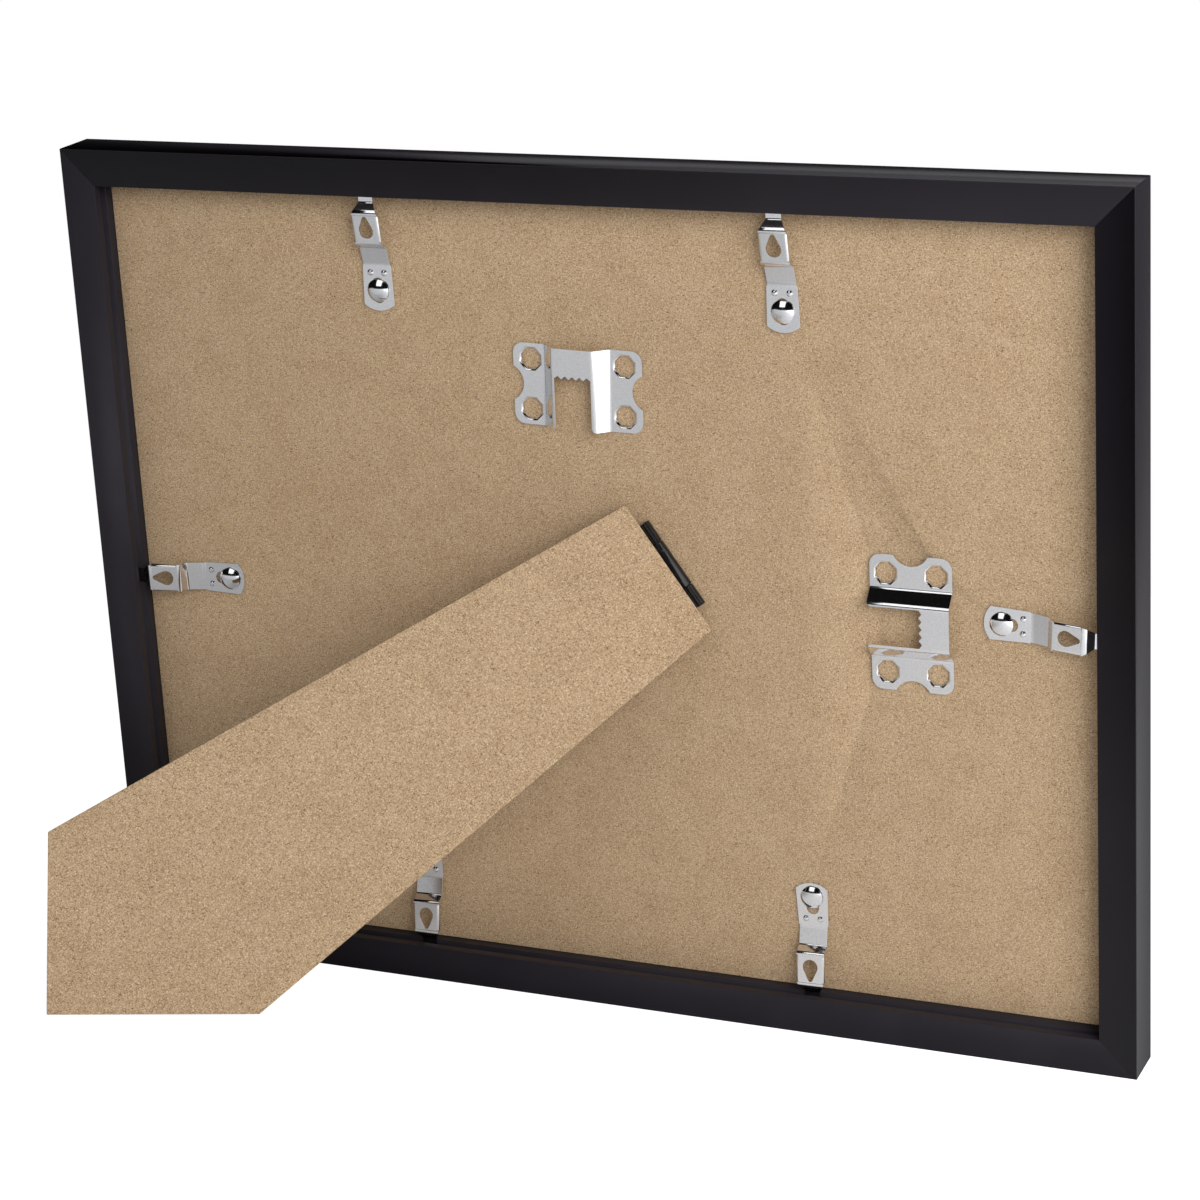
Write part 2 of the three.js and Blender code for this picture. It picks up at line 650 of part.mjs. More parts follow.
// The ring-shaped groove that takes a collar, with its open side towards the fitting
function collarGroove(flats, closedEnd, openEnd) {
  const outer = octagon(flats + 2 * COLLAR_WALL + 2 * COLLAR_CLEARANCE, closedEnd, openEnd);
  const low = Math.min(closedEnd, openEnd) - 1;
  const high = Math.max(closedEnd, openEnd) + 1;
  return outer.subtract(octagon(flats - 2 * COLLAR_CLEARANCE, low, high));
}

function boardSolid() {
  const halfWidth = RECESS_WIDTH / 2 - PANEL_CLEARANCE;
  const halfHeight = RECESS_HEIGHT / 2 - PANEL_CLEARANCE;
  let board = block(-halfWidth, halfWidth, -halfHeight, halfHeight, BOARD_FRONT, BOARD_BACK);
  const bore = disc(SHANK_RADIUS + SHANK_CLEARANCE, BOARD_FRONT - 1, BOARD_BACK + 1);
  const footSeat = BOARD_FRONT + FOOT_RECESS + FOOT_THICKNESS + LAYER_GAP;
  const rivetHole = bore.add(disc(FOOT_RADIUS + FOOT_CLEARANCE, BOARD_FRONT - 1, footSeat));
  for (const spec of CLIPS) {
    const [x, y] = rivetPoint(spec);
    board = board.subtract(movedBy(rivetHole, x, y));
  }
  const grooveFloor = BOARD_FRONT + COLLAR_FLOOR - COLLAR_CLEARANCE;
  const hangerGroove = collarGroove(HANGER_HOLE_FLATS, grooveFloor, BOARD_BACK + 1);
  for (const { x, y, turn } of HANGERS) {
    for (const [holeX, holeY] of holePlaces(HANGER_HOLE_SPAN, HANGER_HOLE_PITCH)) {
      const groove = movedBy(hangerGroove, holeX, holeY).rotate([0, 0, turn]);
      board = board.subtract(movedBy(groove, x, y));
    }
  }
  const leafGroove = collarGroove(LEAF_HOLE_FLATS, grooveFloor, BOARD_BACK + 1);
  for (const side of [1, -1]) {
    const groove = movedBy(leafGroove, LEAF_HOLE_STATION, side * LEAF_HOLE_SPREAD / 2);
    board = board.subtract(movedBy(groove.rotate([0, 0, 180 + LEG_SLANT]), HINGE_X, HINGE_Y));
  }
  return board;
}

function makePanels() {
  const panels = new THREE.Group();
  const halfWidth = RECESS_WIDTH / 2 - PANEL_CLEARANCE;
  const halfHeight = RECESS_HEIGHT / 2 - PANEL_CLEARANCE;
  const glazing = block(-halfWidth, halfWidth, -halfHeight, halfHeight, GLAZING_FRONT, GLAZING_BACK);
  const sheetX = SHEET_WIDTH / 2;
  const sheetY = SHEET_HEIGHT / 2;
  const sheet = block(-sheetX, sheetX, -sheetY, sheetY, SHEET_FRONT, SHEET_BACK);
  panels.add(meshOf('backing_board', boardSolid(), 'fibreboard'));
  panels.add(meshOf('insert_sheet', sheet, 'paper'));
  panels.add(meshOf('glazing', glazing, 'clear'));
  return panels;
}

// Hinge pieces lie about their axis: y along the pin, x along the closed leg, z out of the board
function knuckle(middle, width) {
  const ring = new THREE.Shape();
  ring.absarc(0, 0, BARREL_RADIUS, 0, 2 * Math.PI, false);
  return sideSlab(ring, width, middle);
}

function pinBore() {
  const ring = new THREE.Shape();
  ring.absarc(0, 0, PIN_RADIUS + PIN_CLEARANCE, 0, 2 * Math.PI, false);
  return sideSlab(ring, HINGE_WIDTH + 2);
}

// A leaf's sheet from above the pin to its free end, with its two collars; side is +1 for the leg's leaf
function leafSheet(side, collarEnd) {
  const low = side > 0 ? BARREL_RADIUS - HINGE_SHEET : -BARREL_RADIUS;
  let leaf = block(0, LEAF_LENGTH, -HINGE_WIDTH / 2, HINGE_WIDTH / 2, low, low + HINGE_SHEET);
  const middle = low + HINGE_SHEET / 2;
  const ends = [middle, collarEnd].sort((a, b) => a - b);
  const collar = octagon(LEAF_HOLE_FLATS + 2 * COLLAR_WALL, ends[0], ends[1]);
  const bore = octagon(LEAF_HOLE_FLATS, ends[0] - HINGE_SHEET, ends[1] + HINGE_SHEET);
  for (const across of [1, -1]) {
    const y = across * LEAF_HOLE_SPREAD / 2;
    leaf = leaf.add(movedBy(collar, LEAF_HOLE_STATION, y)).subtract(movedBy(bore, LEAF_HOLE_STATION, y));
  }
  return leaf;
}

const KNUCKLE_CLEAR = BARREL_RADIUS + KNUCKLE_GAP;

function boardLeafSolid() {
  const notch = MIDDLE_KNUCKLE / 2 + KNUCKLE_GAP;
  const outer = HINGE_WIDTH / 2 - notch;
  const middle = (HINGE_WIDTH / 2 + notch) / 2;
  return leafSheet(-1, BOARD_FRONT + COLLAR_FLOOR - AXIS_Z)
    .subtract(block(-1, KNUCKLE_CLEAR, -notch, notch, -BARREL_RADIUS - 1, BARREL_RADIUS))
    .add(knuckle(middle, outer))
    .add(knuckle(-middle, outer))
    .subtract(pinBore());
}

// The leg's inner face and the far end of its collars, measured from the hinge axis with the leg closed
const LEG_INNER = BARREL_RADIUS + SEAT_GAP;
const LEG_OUTER = LEG_INNER + LEG_THICKNESS;
const LEG_COLLAR_END = LEG_OUTER - COLLAR_FLOOR;

function legLeafSolid() {
  const half = MIDDLE_KNUCKLE / 2;
  const side = block(-1, KNUCKLE_CLEAR, half, HINGE_WIDTH / 2 + 1, -BARREL_RADIUS, BARREL_RADIUS + 1);
  return leafSheet(1, LEG_COLLAR_END)
    .subtract(side)
    .subtract(side.mirror([0, 1, 0]))
    .add(knuckle(0, MIDDLE_KNUCKLE))
    .subtract(pinBore());
}

function pinSolid() {
  const ring = new THREE.Shape();
  ring.absarc(0, 0, PIN_RADIUS, 0, 2 * Math.PI, false);
  return sideSlab(ring, HINGE_WIDTH);
}

// A point of the back view in the closed leg's own x and y
function inLegView(x, y) {
  return new THREE.Vector2(x - HINGE_X, y - HINGE_Y).rotateAround(new THREE.Vector2(), -LEG_DIRECTION);
}

function crossing(pointA, alongA, pointB, alongB) {
  const gap = pointB.clone().sub(pointA);
  const share = gap.cross(alongB) / alongA.cross(alongB);
  return pointA.clone().addScaledVector(alongA, share);
}

// Corners of the leg in its own view: the two foot edges run beside the recess walls when it is closed
function legCorners() {
  const taper = toRadians(LEG_TAPER);
  const topRight = new THREE.Vector2(LEG_TOP_SETBACK, LEG_TOP_WIDTH / 2);
  const topLeft = new THREE.Vector2(LEG_TOP_SETBACK, -LEG_TOP_WIDTH / 2);
  const rightEdge = new THREE.Vector2(Math.cos(taper), Math.sin(taper));
  const leftEdge = new THREE.Vector2(Math.cos(taper), -Math.sin(taper));
  const wallX = FOOT_EDGE_CLEARANCE - RECESS_WIDTH / 2;
  const wallY = FOOT_EDGE_CLEARANCE - RECESS_HEIGHT / 2;
  const tip = inLegView(wallX, wallY);
  const alongBottom = inLegView(wallX + 1, wallY).sub(tip);
  const alongSide = inLegView(wallX, wallY + 1).sub(tip);
  const bottomCorner = crossing(topRight, rightEdge, tip, alongBottom);
  const sideCorner = crossing(topLeft, leftEdge, tip, alongSide);
  return { topRight, topLeft, sideCorner, tip, bottomCorner };
}

function legSolid() {
  const { topRight, topLeft, sideCorner, tip, bottomCorner } = legCorners();
  let leg = slab(new THREE.Shape([topRight, topLeft, sideCorner, tip, bottomCorner]), LEG_INNER, LEG_OUTER);
  const groove = collarGroove(LEAF_HOLE_FLATS, LEG_INNER - 1, LEG_COLLAR_END + COLLAR_CLEARANCE);
  for (const side of [1, -1]) {
    leg = leg.subtract(movedBy(groove, LEAF_HOLE_STATION, side * LEAF_HOLE_SPREAD / 2));
  }
  return leg;
}

function makeEasel() {
  const easel = new THREE.Group();
  easel.name = 'hinge_axis';
  easel.position.set(HINGE_X, HINGE_Y, AXIS_Z);
  easel.rotation.z = LEG_DIRECTION;
  easel.add(meshOf('hinge_board_leaf', boardLeafSolid(), 'blackMetal'));
  easel.add(meshOf('hinge_pin', pinSolid(), 'blackMetal'));
  const leg = new THREE.Group();
  leg.rotation.y = -toRadians(LEG_OPENING);
  leg.add(meshOf('hinge_leg_leaf', legLeafSolid(), 'blackMetal'));
  leg.add(meshOf('easel_leg', legSolid(), 'fibreboard'));
  easel.add(leg);
  return easel;
}

// The frame leans until the open leg's tip is level with the rear edge of the bottom rail
function leanAngle() {
  const { tip } = legCorners();
  const opening = toRadians(LEG_OPENING);
  const angles = [LEG_INNER, LEG_OUTER].map((height) => {
    const along = tip.x * Math.cos(opening) - height * Math.sin(opening);
    const out = AXIS_Z + tip.x * Math.sin(opening) + height * Math.cos(opening);
    const up = HINGE_Y + along * Math.sin(LEG_DIRECTION) + tip.y * Math.cos(LEG_DIRECTION);
    return Math.atan2(up + FRAME_HEIGHT / 2, out + EDGE_BREAK);
  });
  return Math.min(...angles);
}

function makeFrame() {
  const frame = new THREE.Group();
  frame.add(makeRails(), makeCornerNails(), makePanels(), makeClips(), makeHangers(), makeEasel());
  const lean = leanAngle();
  const right = new THREE.Vector3(-1, 0, 0);
  const up = new THREE.Vector3(0, Math.sin(lean), Math.cos(lean));
  const out = new THREE.Vector3(0, Math.cos(lean), -Math.sin(lean));
  frame.quaternion.setFromRotationMatrix(new THREE.Matrix4().makeBasis(right, up, out));
  const standing = new THREE.Group();
  standing.add(frame);
  standing.updateMatrixWorld(true);
  const box = new THREE.Box3().setFromObject(standing, true);
  const centre = box.getCenter(new THREE.Vector3());
  frame.position.set(-centre.x, -centre.y, -box.min.z);
  return standing;
}

export default makeFrame();
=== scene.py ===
"""Looks of a certificate frame with spring clips, sawtooth hangers and an easel leg.

Every piece is modelled on a bench in millimetres, in the back view of the upright frame: x to the
right and y up along the back face, z out of the back face, origin at the middle of that face. Each
finished piece is then carried over to the leaning frame, in metres.
"""

import json
import logging
import math
from dataclasses import dataclass
from enum import Enum
from typing import Callable, Iterable, Sequence

import bpy
from mathutils import Matrix, Vector


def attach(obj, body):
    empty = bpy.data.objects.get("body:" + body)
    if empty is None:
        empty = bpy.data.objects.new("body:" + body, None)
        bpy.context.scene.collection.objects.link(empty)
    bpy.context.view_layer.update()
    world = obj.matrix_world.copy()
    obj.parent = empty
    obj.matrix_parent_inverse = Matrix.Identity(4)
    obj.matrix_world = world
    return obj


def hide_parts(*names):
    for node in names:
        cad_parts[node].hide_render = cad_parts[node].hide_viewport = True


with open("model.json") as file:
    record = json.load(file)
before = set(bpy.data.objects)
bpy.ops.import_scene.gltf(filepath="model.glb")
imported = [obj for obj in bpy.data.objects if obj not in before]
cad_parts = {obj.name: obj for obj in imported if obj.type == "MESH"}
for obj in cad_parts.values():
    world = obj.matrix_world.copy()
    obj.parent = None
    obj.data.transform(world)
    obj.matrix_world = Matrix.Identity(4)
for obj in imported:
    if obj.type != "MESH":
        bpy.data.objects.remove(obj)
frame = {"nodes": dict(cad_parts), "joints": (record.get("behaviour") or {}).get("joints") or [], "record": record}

log = logging.getLogger("certificate_frame")

MM = 0.001
# Cosine of the angle within which two faces count as lying the same way.
LEVEL = 0.9999
Point = tuple[float, float]
Colour = tuple[float, float, float]


def srgb(red: int, green: int, blue: int) -> Colour:
    """Turns a colour as a screen shows it into the linear colour that a shader takes.

    Args:
        red: Red from 0 to 255.
        green: Green from 0 to 255.
        blue: Blue from 0 to 255.

    Returns:
        The three linear values.
    """
    shares = (value / 255 for value in (red, green, blue))
    return tuple(s / 12.92 if s <= 0.04045 else ((s + 0.055) / 1.055) ** 2.4 for s in shares)


class Towards(Enum):
    """The side of the frame that a clip reaches to, as its angle in the back view."""

    TOP = 90
    RIGHT = 0
    BOTTOM = -90
    LEFT = 180


class Select(Enum):
    """What an edit step works on."""

    VERTS = "VERT"
    EDGES = "EDGE"
    FACES = "FACE"


@dataclass(frozen=True)
class Layers:
    """Sizes of the recess and of what lies in it, in millimetres; heights are from the back face."""

    recess_width: float = 281.8
    recess_height: float = 216.8
    rail_width: float = 10.1
    board_back: float = -8.25
    board_thickness: float = 2.5
    lip_back: float = -12.95
    rail_front: float = -14.35
    lip_reach: float = 4.0
    seat_gap: float = 0.2

    @property
    def board_front(self) -> float:
        """Height of the board's front face."""
        return self.board_back - self.board_thickness

    @property
    def frame_width(self) -> float:
        """Outer width of the frame."""
        return self.recess_width + 2 * self.rail_width

    @property
    def frame_height(self) -> float:
        """Outer height of the frame."""
        return self.recess_height + 2 * self.rail_width


LAYERS = Layers()


@dataclass(frozen=True)
class BackView:
    """The back view's place in the leaning frame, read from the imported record."""

    origin: Vector
    right: Vector
    up: Vector
    out: Vector

    @classmethod
    def from_record(cls, record: dict) -> "BackView":
        """Reads the lean from the two flat faces that the record names.

        Args:
            record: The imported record.

        Returns:
            The back view.
        """
        mounts = {mount["name"]: mount for mount in record["mounts"]}
        out = Vector(mounts["back_face"]["axis"]).normalized()
        up = -Vector(mounts["bottom_face"]["axis"]).normalized()
        under = Vector(mounts["bottom_face"]["pos_m"])
        back = Vector(mounts["back_face"]["pos_m"])
        below = under + up * (LAYERS.frame_height / 2 * MM)
        origin = below + out * (back - below).dot(out)
        return cls(origin=origin, right=up.cross(out), up=up, out=out)

    @property
    def turn(self) -> Matrix:
        """Rotation from the back view to the leaning frame."""
        return Matrix((self.right, self.up, self.out)).transposed().to_4x4()

    @property
    def matrix(self) -> Matrix:
        """Bench millimetres in the back view to metres in the leaning frame."""
        return Matrix.Translation(self.origin) @ self.turn @ Matrix.Scale(MM, 4)

    def bench_point(self, place: Sequence[float]) -> Vector:
        """A point of the leaning frame, in metres, as a point of the back view in millimetres."""
        return self.matrix.inverted() @ Vector(place)

    def bench_direction(self, axis: Sequence[float]) -> Vector:
        """A direction of the leaning frame as a direction of the back view."""
        return self.turn.inverted().to_3x3() @ Vector(axis)


class Bench:
    """Modelling steps on one mesh at a time, in bench millimetres."""

    @staticmethod
    def clear() -> None:
        """Goes back to object mode with nothing selected."""
        if bpy.context.object and bpy.context.object.mode != "OBJECT":
            bpy.ops.object.mode_set(mode="OBJECT")
        bpy.ops.object.select_all(action="DESELECT")

    @staticmethod
    def take(piece: bpy.types.Object) -> None:
        """Makes a piece the only selected and active object."""
        Bench.clear()
        piece.select_set(True)
        bpy.context.view_layer.objects.active = piece

    @staticmethod
    def named(name: str) -> bpy.types.Object:
        """Names the object that was just added, and bakes its size and place into its mesh."""
        piece = bpy.context.object
        piece.name = name
        piece.data.name = name
        bpy.ops.object.transform_apply(location=True, rotation=True, scale=True)
        return piece

    @staticmethod
    def block(name: str, low: Sequence[float], high: Sequence[float]) -> bpy.types.Object:
        """Adds a block between two corners."""
        Bench.clear()
        middle = [(a + b) / 2 for a, b in zip(low, high)]
        size = [b - a for a, b in zip(low, high)]
        bpy.ops.mesh.primitive_cube_add(size=1, location=middle, scale=size)
        return Bench.named(name)

    @staticmethod
    def prism(
        name: str, sides: int, radius: float, low: float, high: float, at: Point = (0, 0), turn: float = 0
    ) -> bpy.types.Object:
        """Adds an upright prism or disc.

        Args:
            name: Name of the piece.
            sides: How many sides it has.
            radius: Radius to its corners.
            low: Height of its lower end.
            high: Height of its upper end.
            at: Place of its axis.
            turn: Turn about its axis, in degrees.

        Returns:
            The new piece.
        """
        Bench.clear()
        bpy.ops.mesh.primitive_cylinder_add(
            vertices=sides,
            radius=radius,
            depth=high - low,
            location=(at[0], at[1], (low + high) / 2),
            rotation=(0, 0, math.radians(turn)),
        )
        return Bench.named(name)

    @staticmethod
    def octagon(name: str, flats: float, low: float, high: float, at: Point = (0, 0)) -> bpy.types.Object:
        """Adds an upright octagonal prism with flats along x and y."""
        return Bench.prism(name, 8, flats / 2 / math.cos(math.pi / 8), low, high, at, turn=22.5)

    @staticmethod
    def pick(piece: bpy.types.Object, test: Callable[[Vector], bool], kind: Select = Select.VERTS) -> int:
        """Selects, in edit mode, what lies wholly where a test holds.

        Args:
            piece: The piece to edit.
            test: Says of a point whether it is wanted.
            kind: Whether vertices, edges or faces are wanted.

        Returns:
            How many vertices passed the test.
        """
        if bpy.context.object is not piece or piece.mode != "EDIT":
            Bench.take(piece)
            bpy.ops.object.mode_set(mode="EDIT")
        bpy.ops.mesh.select_mode(type="VERT")
        bpy.ops.mesh.select_all(action="DESELECT")
        bpy.ops.object.mode_set(mode="OBJECT")
        count = 0
        for vertex in piece.data.vertices:
            vertex.select = bool(test(vertex.co))
            count += vertex.select
        bpy.ops.object.mode_set(mode="EDIT")
        bpy.ops.mesh.select_mode(type=kind.value)
        return count

    @staticmethod
    def extrude(step: Sequence[float]) -> None:
        """Extrudes what is selected and moves the new part by a step."""
        bpy.ops.mesh.extrude_region_move(TRANSFORM_OT_translate={"value": tuple(step)})

    @staticmethod
    def chain(name: str, points: Sequence[Sequence[float]]) -> bpy.types.Object:
        """Draws a chain of edges: one vertex is extruded from point to point.

        Args:
            name: Name of the piece.
            points: The points of the chain in x, y and z.

        Returns:
            The new piece, left in edit mode with all of it selected.
        """
        Bench.clear()
        bpy.ops.mesh.primitive_plane_add(size=1, location=points[0])
        piece = Bench.named(name)
        bpy.ops.object.mode_set(mode="EDIT")
        bpy.ops.mesh.select_mode(type="VERT")
        bpy.ops.mesh.select_all(action="SELECT")
        bpy.ops.mesh.merge(type="CENTER")
        for before, after in zip(points, points[1:]):
            Bench.extrude([b - a for a, b in zip(before, after)])
        bpy.ops.mesh.select_all(action="SELECT")
        return piece

    @staticmethod
    def outline(name: str, points: Sequence[Point], low: float, high: float) -> bpy.types.Object:
        """Fills an outline drawn in plan and extrudes it from one height to another."""
        piece = Bench.chain(name, [(x, y, low) for x, y in points])
        bpy.ops.mesh.edge_face_add()
        Bench.extrude((0, 0, high - low))
        Bench.tidy(piece)
        return piece

    @staticmethod
    def turned(name: str, profile: Sequence[Point], steps: int = 48) -> bpy.types.Object:
        """Spins a profile of radius and height about the z axis.

        Args:
            name: Name of the piece.
            profile: Radius and height of each point.
            steps: How many steps the full turn takes.

        Returns:
            The closed, outward-facing piece.
        """
        piece = Bench.chain(name, [(radius, 0, height) for radius, height in profile])
        bpy.ops.mesh.spin(steps=steps, angle=2 * math.pi, center=(0, 0, 0), axis=(0, 0, 1), dupli=False)
        Bench.tidy(piece)
        return piece

    @staticmethod
    def tidy(piece: bpy.types.Object) -> None:
        """Merges doubles, turns the faces outwards and leaves edit mode."""
        if piece.mode != "EDIT":
            Bench.take(piece)
            bpy.ops.object.mode_set(mode="EDIT")
        bpy.ops.mesh.select_all(action="SELECT")
        bpy.ops.mesh.remove_doubles(threshold=0.002)
        bpy.ops.mesh.normals_make_consistent(inside=False)
        bpy.ops.mesh.select_all(action="DESELECT")
        bpy.ops.object.mode_set(mode="OBJECT")

    @staticmethod
    def apply(piece: bpy.types.Object, kind: str, **settings: object) -> None:
        """Adds a modifier with its settings and applies it."""
        Bench.take(piece)
        modifier = piece.modifiers.new(kind.title(), kind)
        for name, value in settings.items():
            setattr(modifier, name, value)
        bpy.ops.object.modifier_apply(modifier=modifier.name)

    @staticmethod
    def combine(piece: bpy.types.Object, tool: bpy.types.Object, how: str) -> None:
        """Joins, cuts or crosses a piece with a tool, which is used up.

        Args:
            piece: The piece that stays.
            tool: The shape that it is joined to or cut with.
            how: UNION, DIFFERENCE or INTERSECT.
        """
        Bench.apply(piece, "BOOLEAN", object=tool, operation=how, solver="EXACT")
        bpy.data.objects.remove(tool)

    @staticmethod
    def soften(
        piece: bpy.types.Object, width: float, segments: int = 2, angle: float = 35, flat: float = 6
    ) -> None:
        """Rounds the sharp edges of a piece and shades its curved faces smooth.

        Args:
            piece: The piece to round.
            width: Width of the rounding.
            segments: How many strips make up the rounding.
            angle: The sharpest edge that stays as it is, in degrees.
            flat: The smallest area of a face that stays flat.
        """
        Bench.apply(
            piece,
            "BEVEL",
            width=width,
            segments=segments,
            limit_method="ANGLE",
            angle_limit=math.radians(angle),
            use_clamp_overlap=True,
            harden_normals=False,
        )
        Bench.shade(piece, flat)

    @staticmethod
    def shade(piece: bpy.types.Object, flat: float = 6) -> None:
        """Shades the curved faces of a piece smooth and keeps its large flat faces flat.

        Args:
            piece: The piece to shade.
            flat: The smallest area of a face that stays flat, along with the smaller faces that
                lie the same way as such a face.
        """
        Bench.take(piece)
        bpy.ops.object.shade_smooth_by_angle(angle=math.radians(38))
        bpy.ops.object.mode_set(mode="EDIT")
        bpy.ops.mesh.select_mode(type="FACE")
        bpy.ops.mesh.select_all(action="DESELECT")
        bpy.ops.object.mode_set(mode="OBJECT")
        ways = [face.normal.copy() for face in piece.data.polygons if face.area > flat]
        for face in piece.data.polygons:
            face.select = any(face.normal.dot(way) > LEVEL for way in ways)
        bpy.ops.object.mode_set(mode="EDIT")
        bpy.ops.mesh.set_normals_from_faces(keep_sharp=True)
        bpy.ops.mesh.select_all(action="DESELECT")
        bpy.ops.object.mode_set(mode="OBJECT")

    @staticmethod
    def twin(piece: bpy.types.Object, name: str) -> bpy.types.Object:
        """A copy of a piece with its own mesh."""
        other = piece.copy()
        other.data = piece.data.copy()
        other.name = name
        other.data.name = name
        bpy.context.scene.collection.objects.link(other)
        return other

    @staticmethod
    def place(piece: bpy.types.Object, matrix: Matrix) -> bpy.types.Object:
        """Carries a finished piece to its place and bakes that place into its mesh."""
        Bench.take(piece)
        piece.matrix_world = matrix
        bpy.ops.object.transform_apply(location=True, rotation=True, scale=True)
        return piece


def rounded_path(points: Sequence[Point], bends: Sequence[float], steps: int = 6) -> list[Point]:
    """Rounds the inner corners of a path with short curves.

    Args:
        points: The corners of the path.
        bends: How far from each inner corner its curve starts and ends.
        steps: How many steps each curve takes.

    Returns:
        The points of the rounded path.
    """
    path = [points[0]]
    for before, corner, after, bend in zip(points, points[1:], points[2:], bends):
        ends = []
        for other in (before, after):
            span = math.dist(corner, other)
            share = min(bend, span * 0.48) / span
            ends.append([c + (o - c) * share for c, o in zip(corner, other)])
        for step in range(steps + 1):
            t = step / steps
            path.append(
                tuple((1 - t) ** 2 * a + 2 * t * (1 - t) * c + t**2 * b for a, c, b in zip(ends[0], corner, ends[1]))
            )
    path.append(points[-1])
    return path


def arc(centre: Point, radius: float, start: float, end: float, steps: int) -> list[Point]:
    """Points of an arc in plan, its angles in degrees."""
    angles = (math.radians(start + (end - start) * i / steps) for i in range(steps + 1))
    return [(centre[0] + radius * math.cos(a), centre[1] + radius * math.sin(a)) for a in angles]


class Sketch:
    """A material's node tree, drawn with short calls."""

    def __init__(self, name: str) -> None:
        """Starts a material that has a Principled shader and its output.

        Args:
            name: Name of the material.
        """
        self.material = bpy.data.materials.new(name)
        self.material.use_nodes = True
        self.tree = self.material.node_tree
        self.shader = self.tree.nodes["Principled BSDF"]

    def add(self, kind: str, **settings: object) -> bpy.types.Node:
        """Adds a node and sets its properties."""
        node = self.tree.nodes.new(kind)
        for name, value in settings.items():
            setattr(node, name, value)
        return node

    def join(self, source: bpy.types.NodeSocket, target: bpy.types.NodeSocket) -> None:
        """Links two sockets."""
        self.tree.links.new(source, target)

    def position(
        self, turn: Sequence[float] = (0, 0, 0), scale: Sequence[float] = (1, 1, 1)
    ) -> bpy.types.NodeSocket:
        """Object coordinates in millimetres, turned and stretched.

        Args:
            turn: Turn about the three axes, in radians.
            scale: Stretch of the pattern's own axes.

        Returns:
            The vector to feed a texture.
        """
        coordinates = self.add("ShaderNodeTexCoord")
        mapping = self.add("ShaderNodeMapping", vector_type="POINT")
        mapping.inputs["Rotation"].default_value = turn
        mapping.inputs["Scale"].default_value = [1 / MM] * 3
        self.join(coordinates.outputs["Object"], mapping.inputs["Vector"])
        stretch = self.add("ShaderNodeMapping", vector_type="POINT")
        stretch.inputs["Scale"].default_value = scale
        self.join(mapping.outputs["Vector"], stretch.inputs["Vector"])
        return stretch.outputs["Vector"]

    def noise(
        self, vector: bpy.types.NodeSocket, scale: float, detail: float = 2, roughness: float = 0.5
    ) -> bpy.types.NodeSocket:
        """Noise of a given scale on a vector."""
        node = self.add("ShaderNodeTexNoise")
        node.inputs["Scale"].default_value = scale
        node.inputs["Detail"].default_value = detail
        node.inputs["Roughness"].default_value = roughness
        self.join(vector, node.inputs["Vector"])
        return node.outputs["Fac"]

    def band(self, value: bpy.types.NodeSocket, low: float, high: float, to: float = 1) -> bpy.types.NodeSocket:
        """Spreads the stretch of a value between two limits over 0 to a highest value."""
        node = self.add("ShaderNodeMapRange", clamp=True, interpolation_type="SMOOTHSTEP")
        node.inputs["From Min"].default_value = low
        node.inputs["From Max"].default_value = high
        node.inputs["To Max"].default_value = to
        self.join(value, node.inputs["Value"])
        return node.outputs["Result"]

    def mix(
        self, share: bpy.types.NodeSocket, first: bpy.types.NodeSocket | Colour, second: bpy.types.NodeSocket | Colour
    ) -> bpy.types.NodeSocket:
        """Mixes two colours by a share."""
        node = self.add("ShaderNodeMix", data_type="RGBA", clamp_factor=True)
        self.join(share, node.inputs["Factor"])
        for socket, colour in (("A", first), ("B", second)):
            target = next(s for s in node.inputs if s.name == socket and s.type == "RGBA")
            if isinstance(colour, bpy.types.NodeSocket):
                self.join(colour, target)
            else:
                target.default_value = (*colour, 1)
        return next(s for s in node.outputs if s.type == "RGBA")

    def sum(self, first: bpy.types.NodeSocket, second: bpy.types.NodeSocket, how: str = "ADD") -> bpy.types.NodeSocket:
        """Puts two values together with a maths step."""
        node = self.add("ShaderNodeMath", operation=how)
        self.join(first, node.inputs[0])
        self.join(second, node.inputs[1])
        return node.outputs[0]

    def bump(self, height: bpy.types.NodeSocket, strength: float, distance: float) -> None:
        """Feeds the shader a bump of a height in millimetres."""
        node = self.add("ShaderNodeBump")
        node.inputs["Strength"].default_value = strength
        node.inputs["Distance"].default_value = distance * MM
        self.join(height, node.inputs["Height"])
        self.join(node.outputs["Normal"], self.shader.inputs["Normal"])


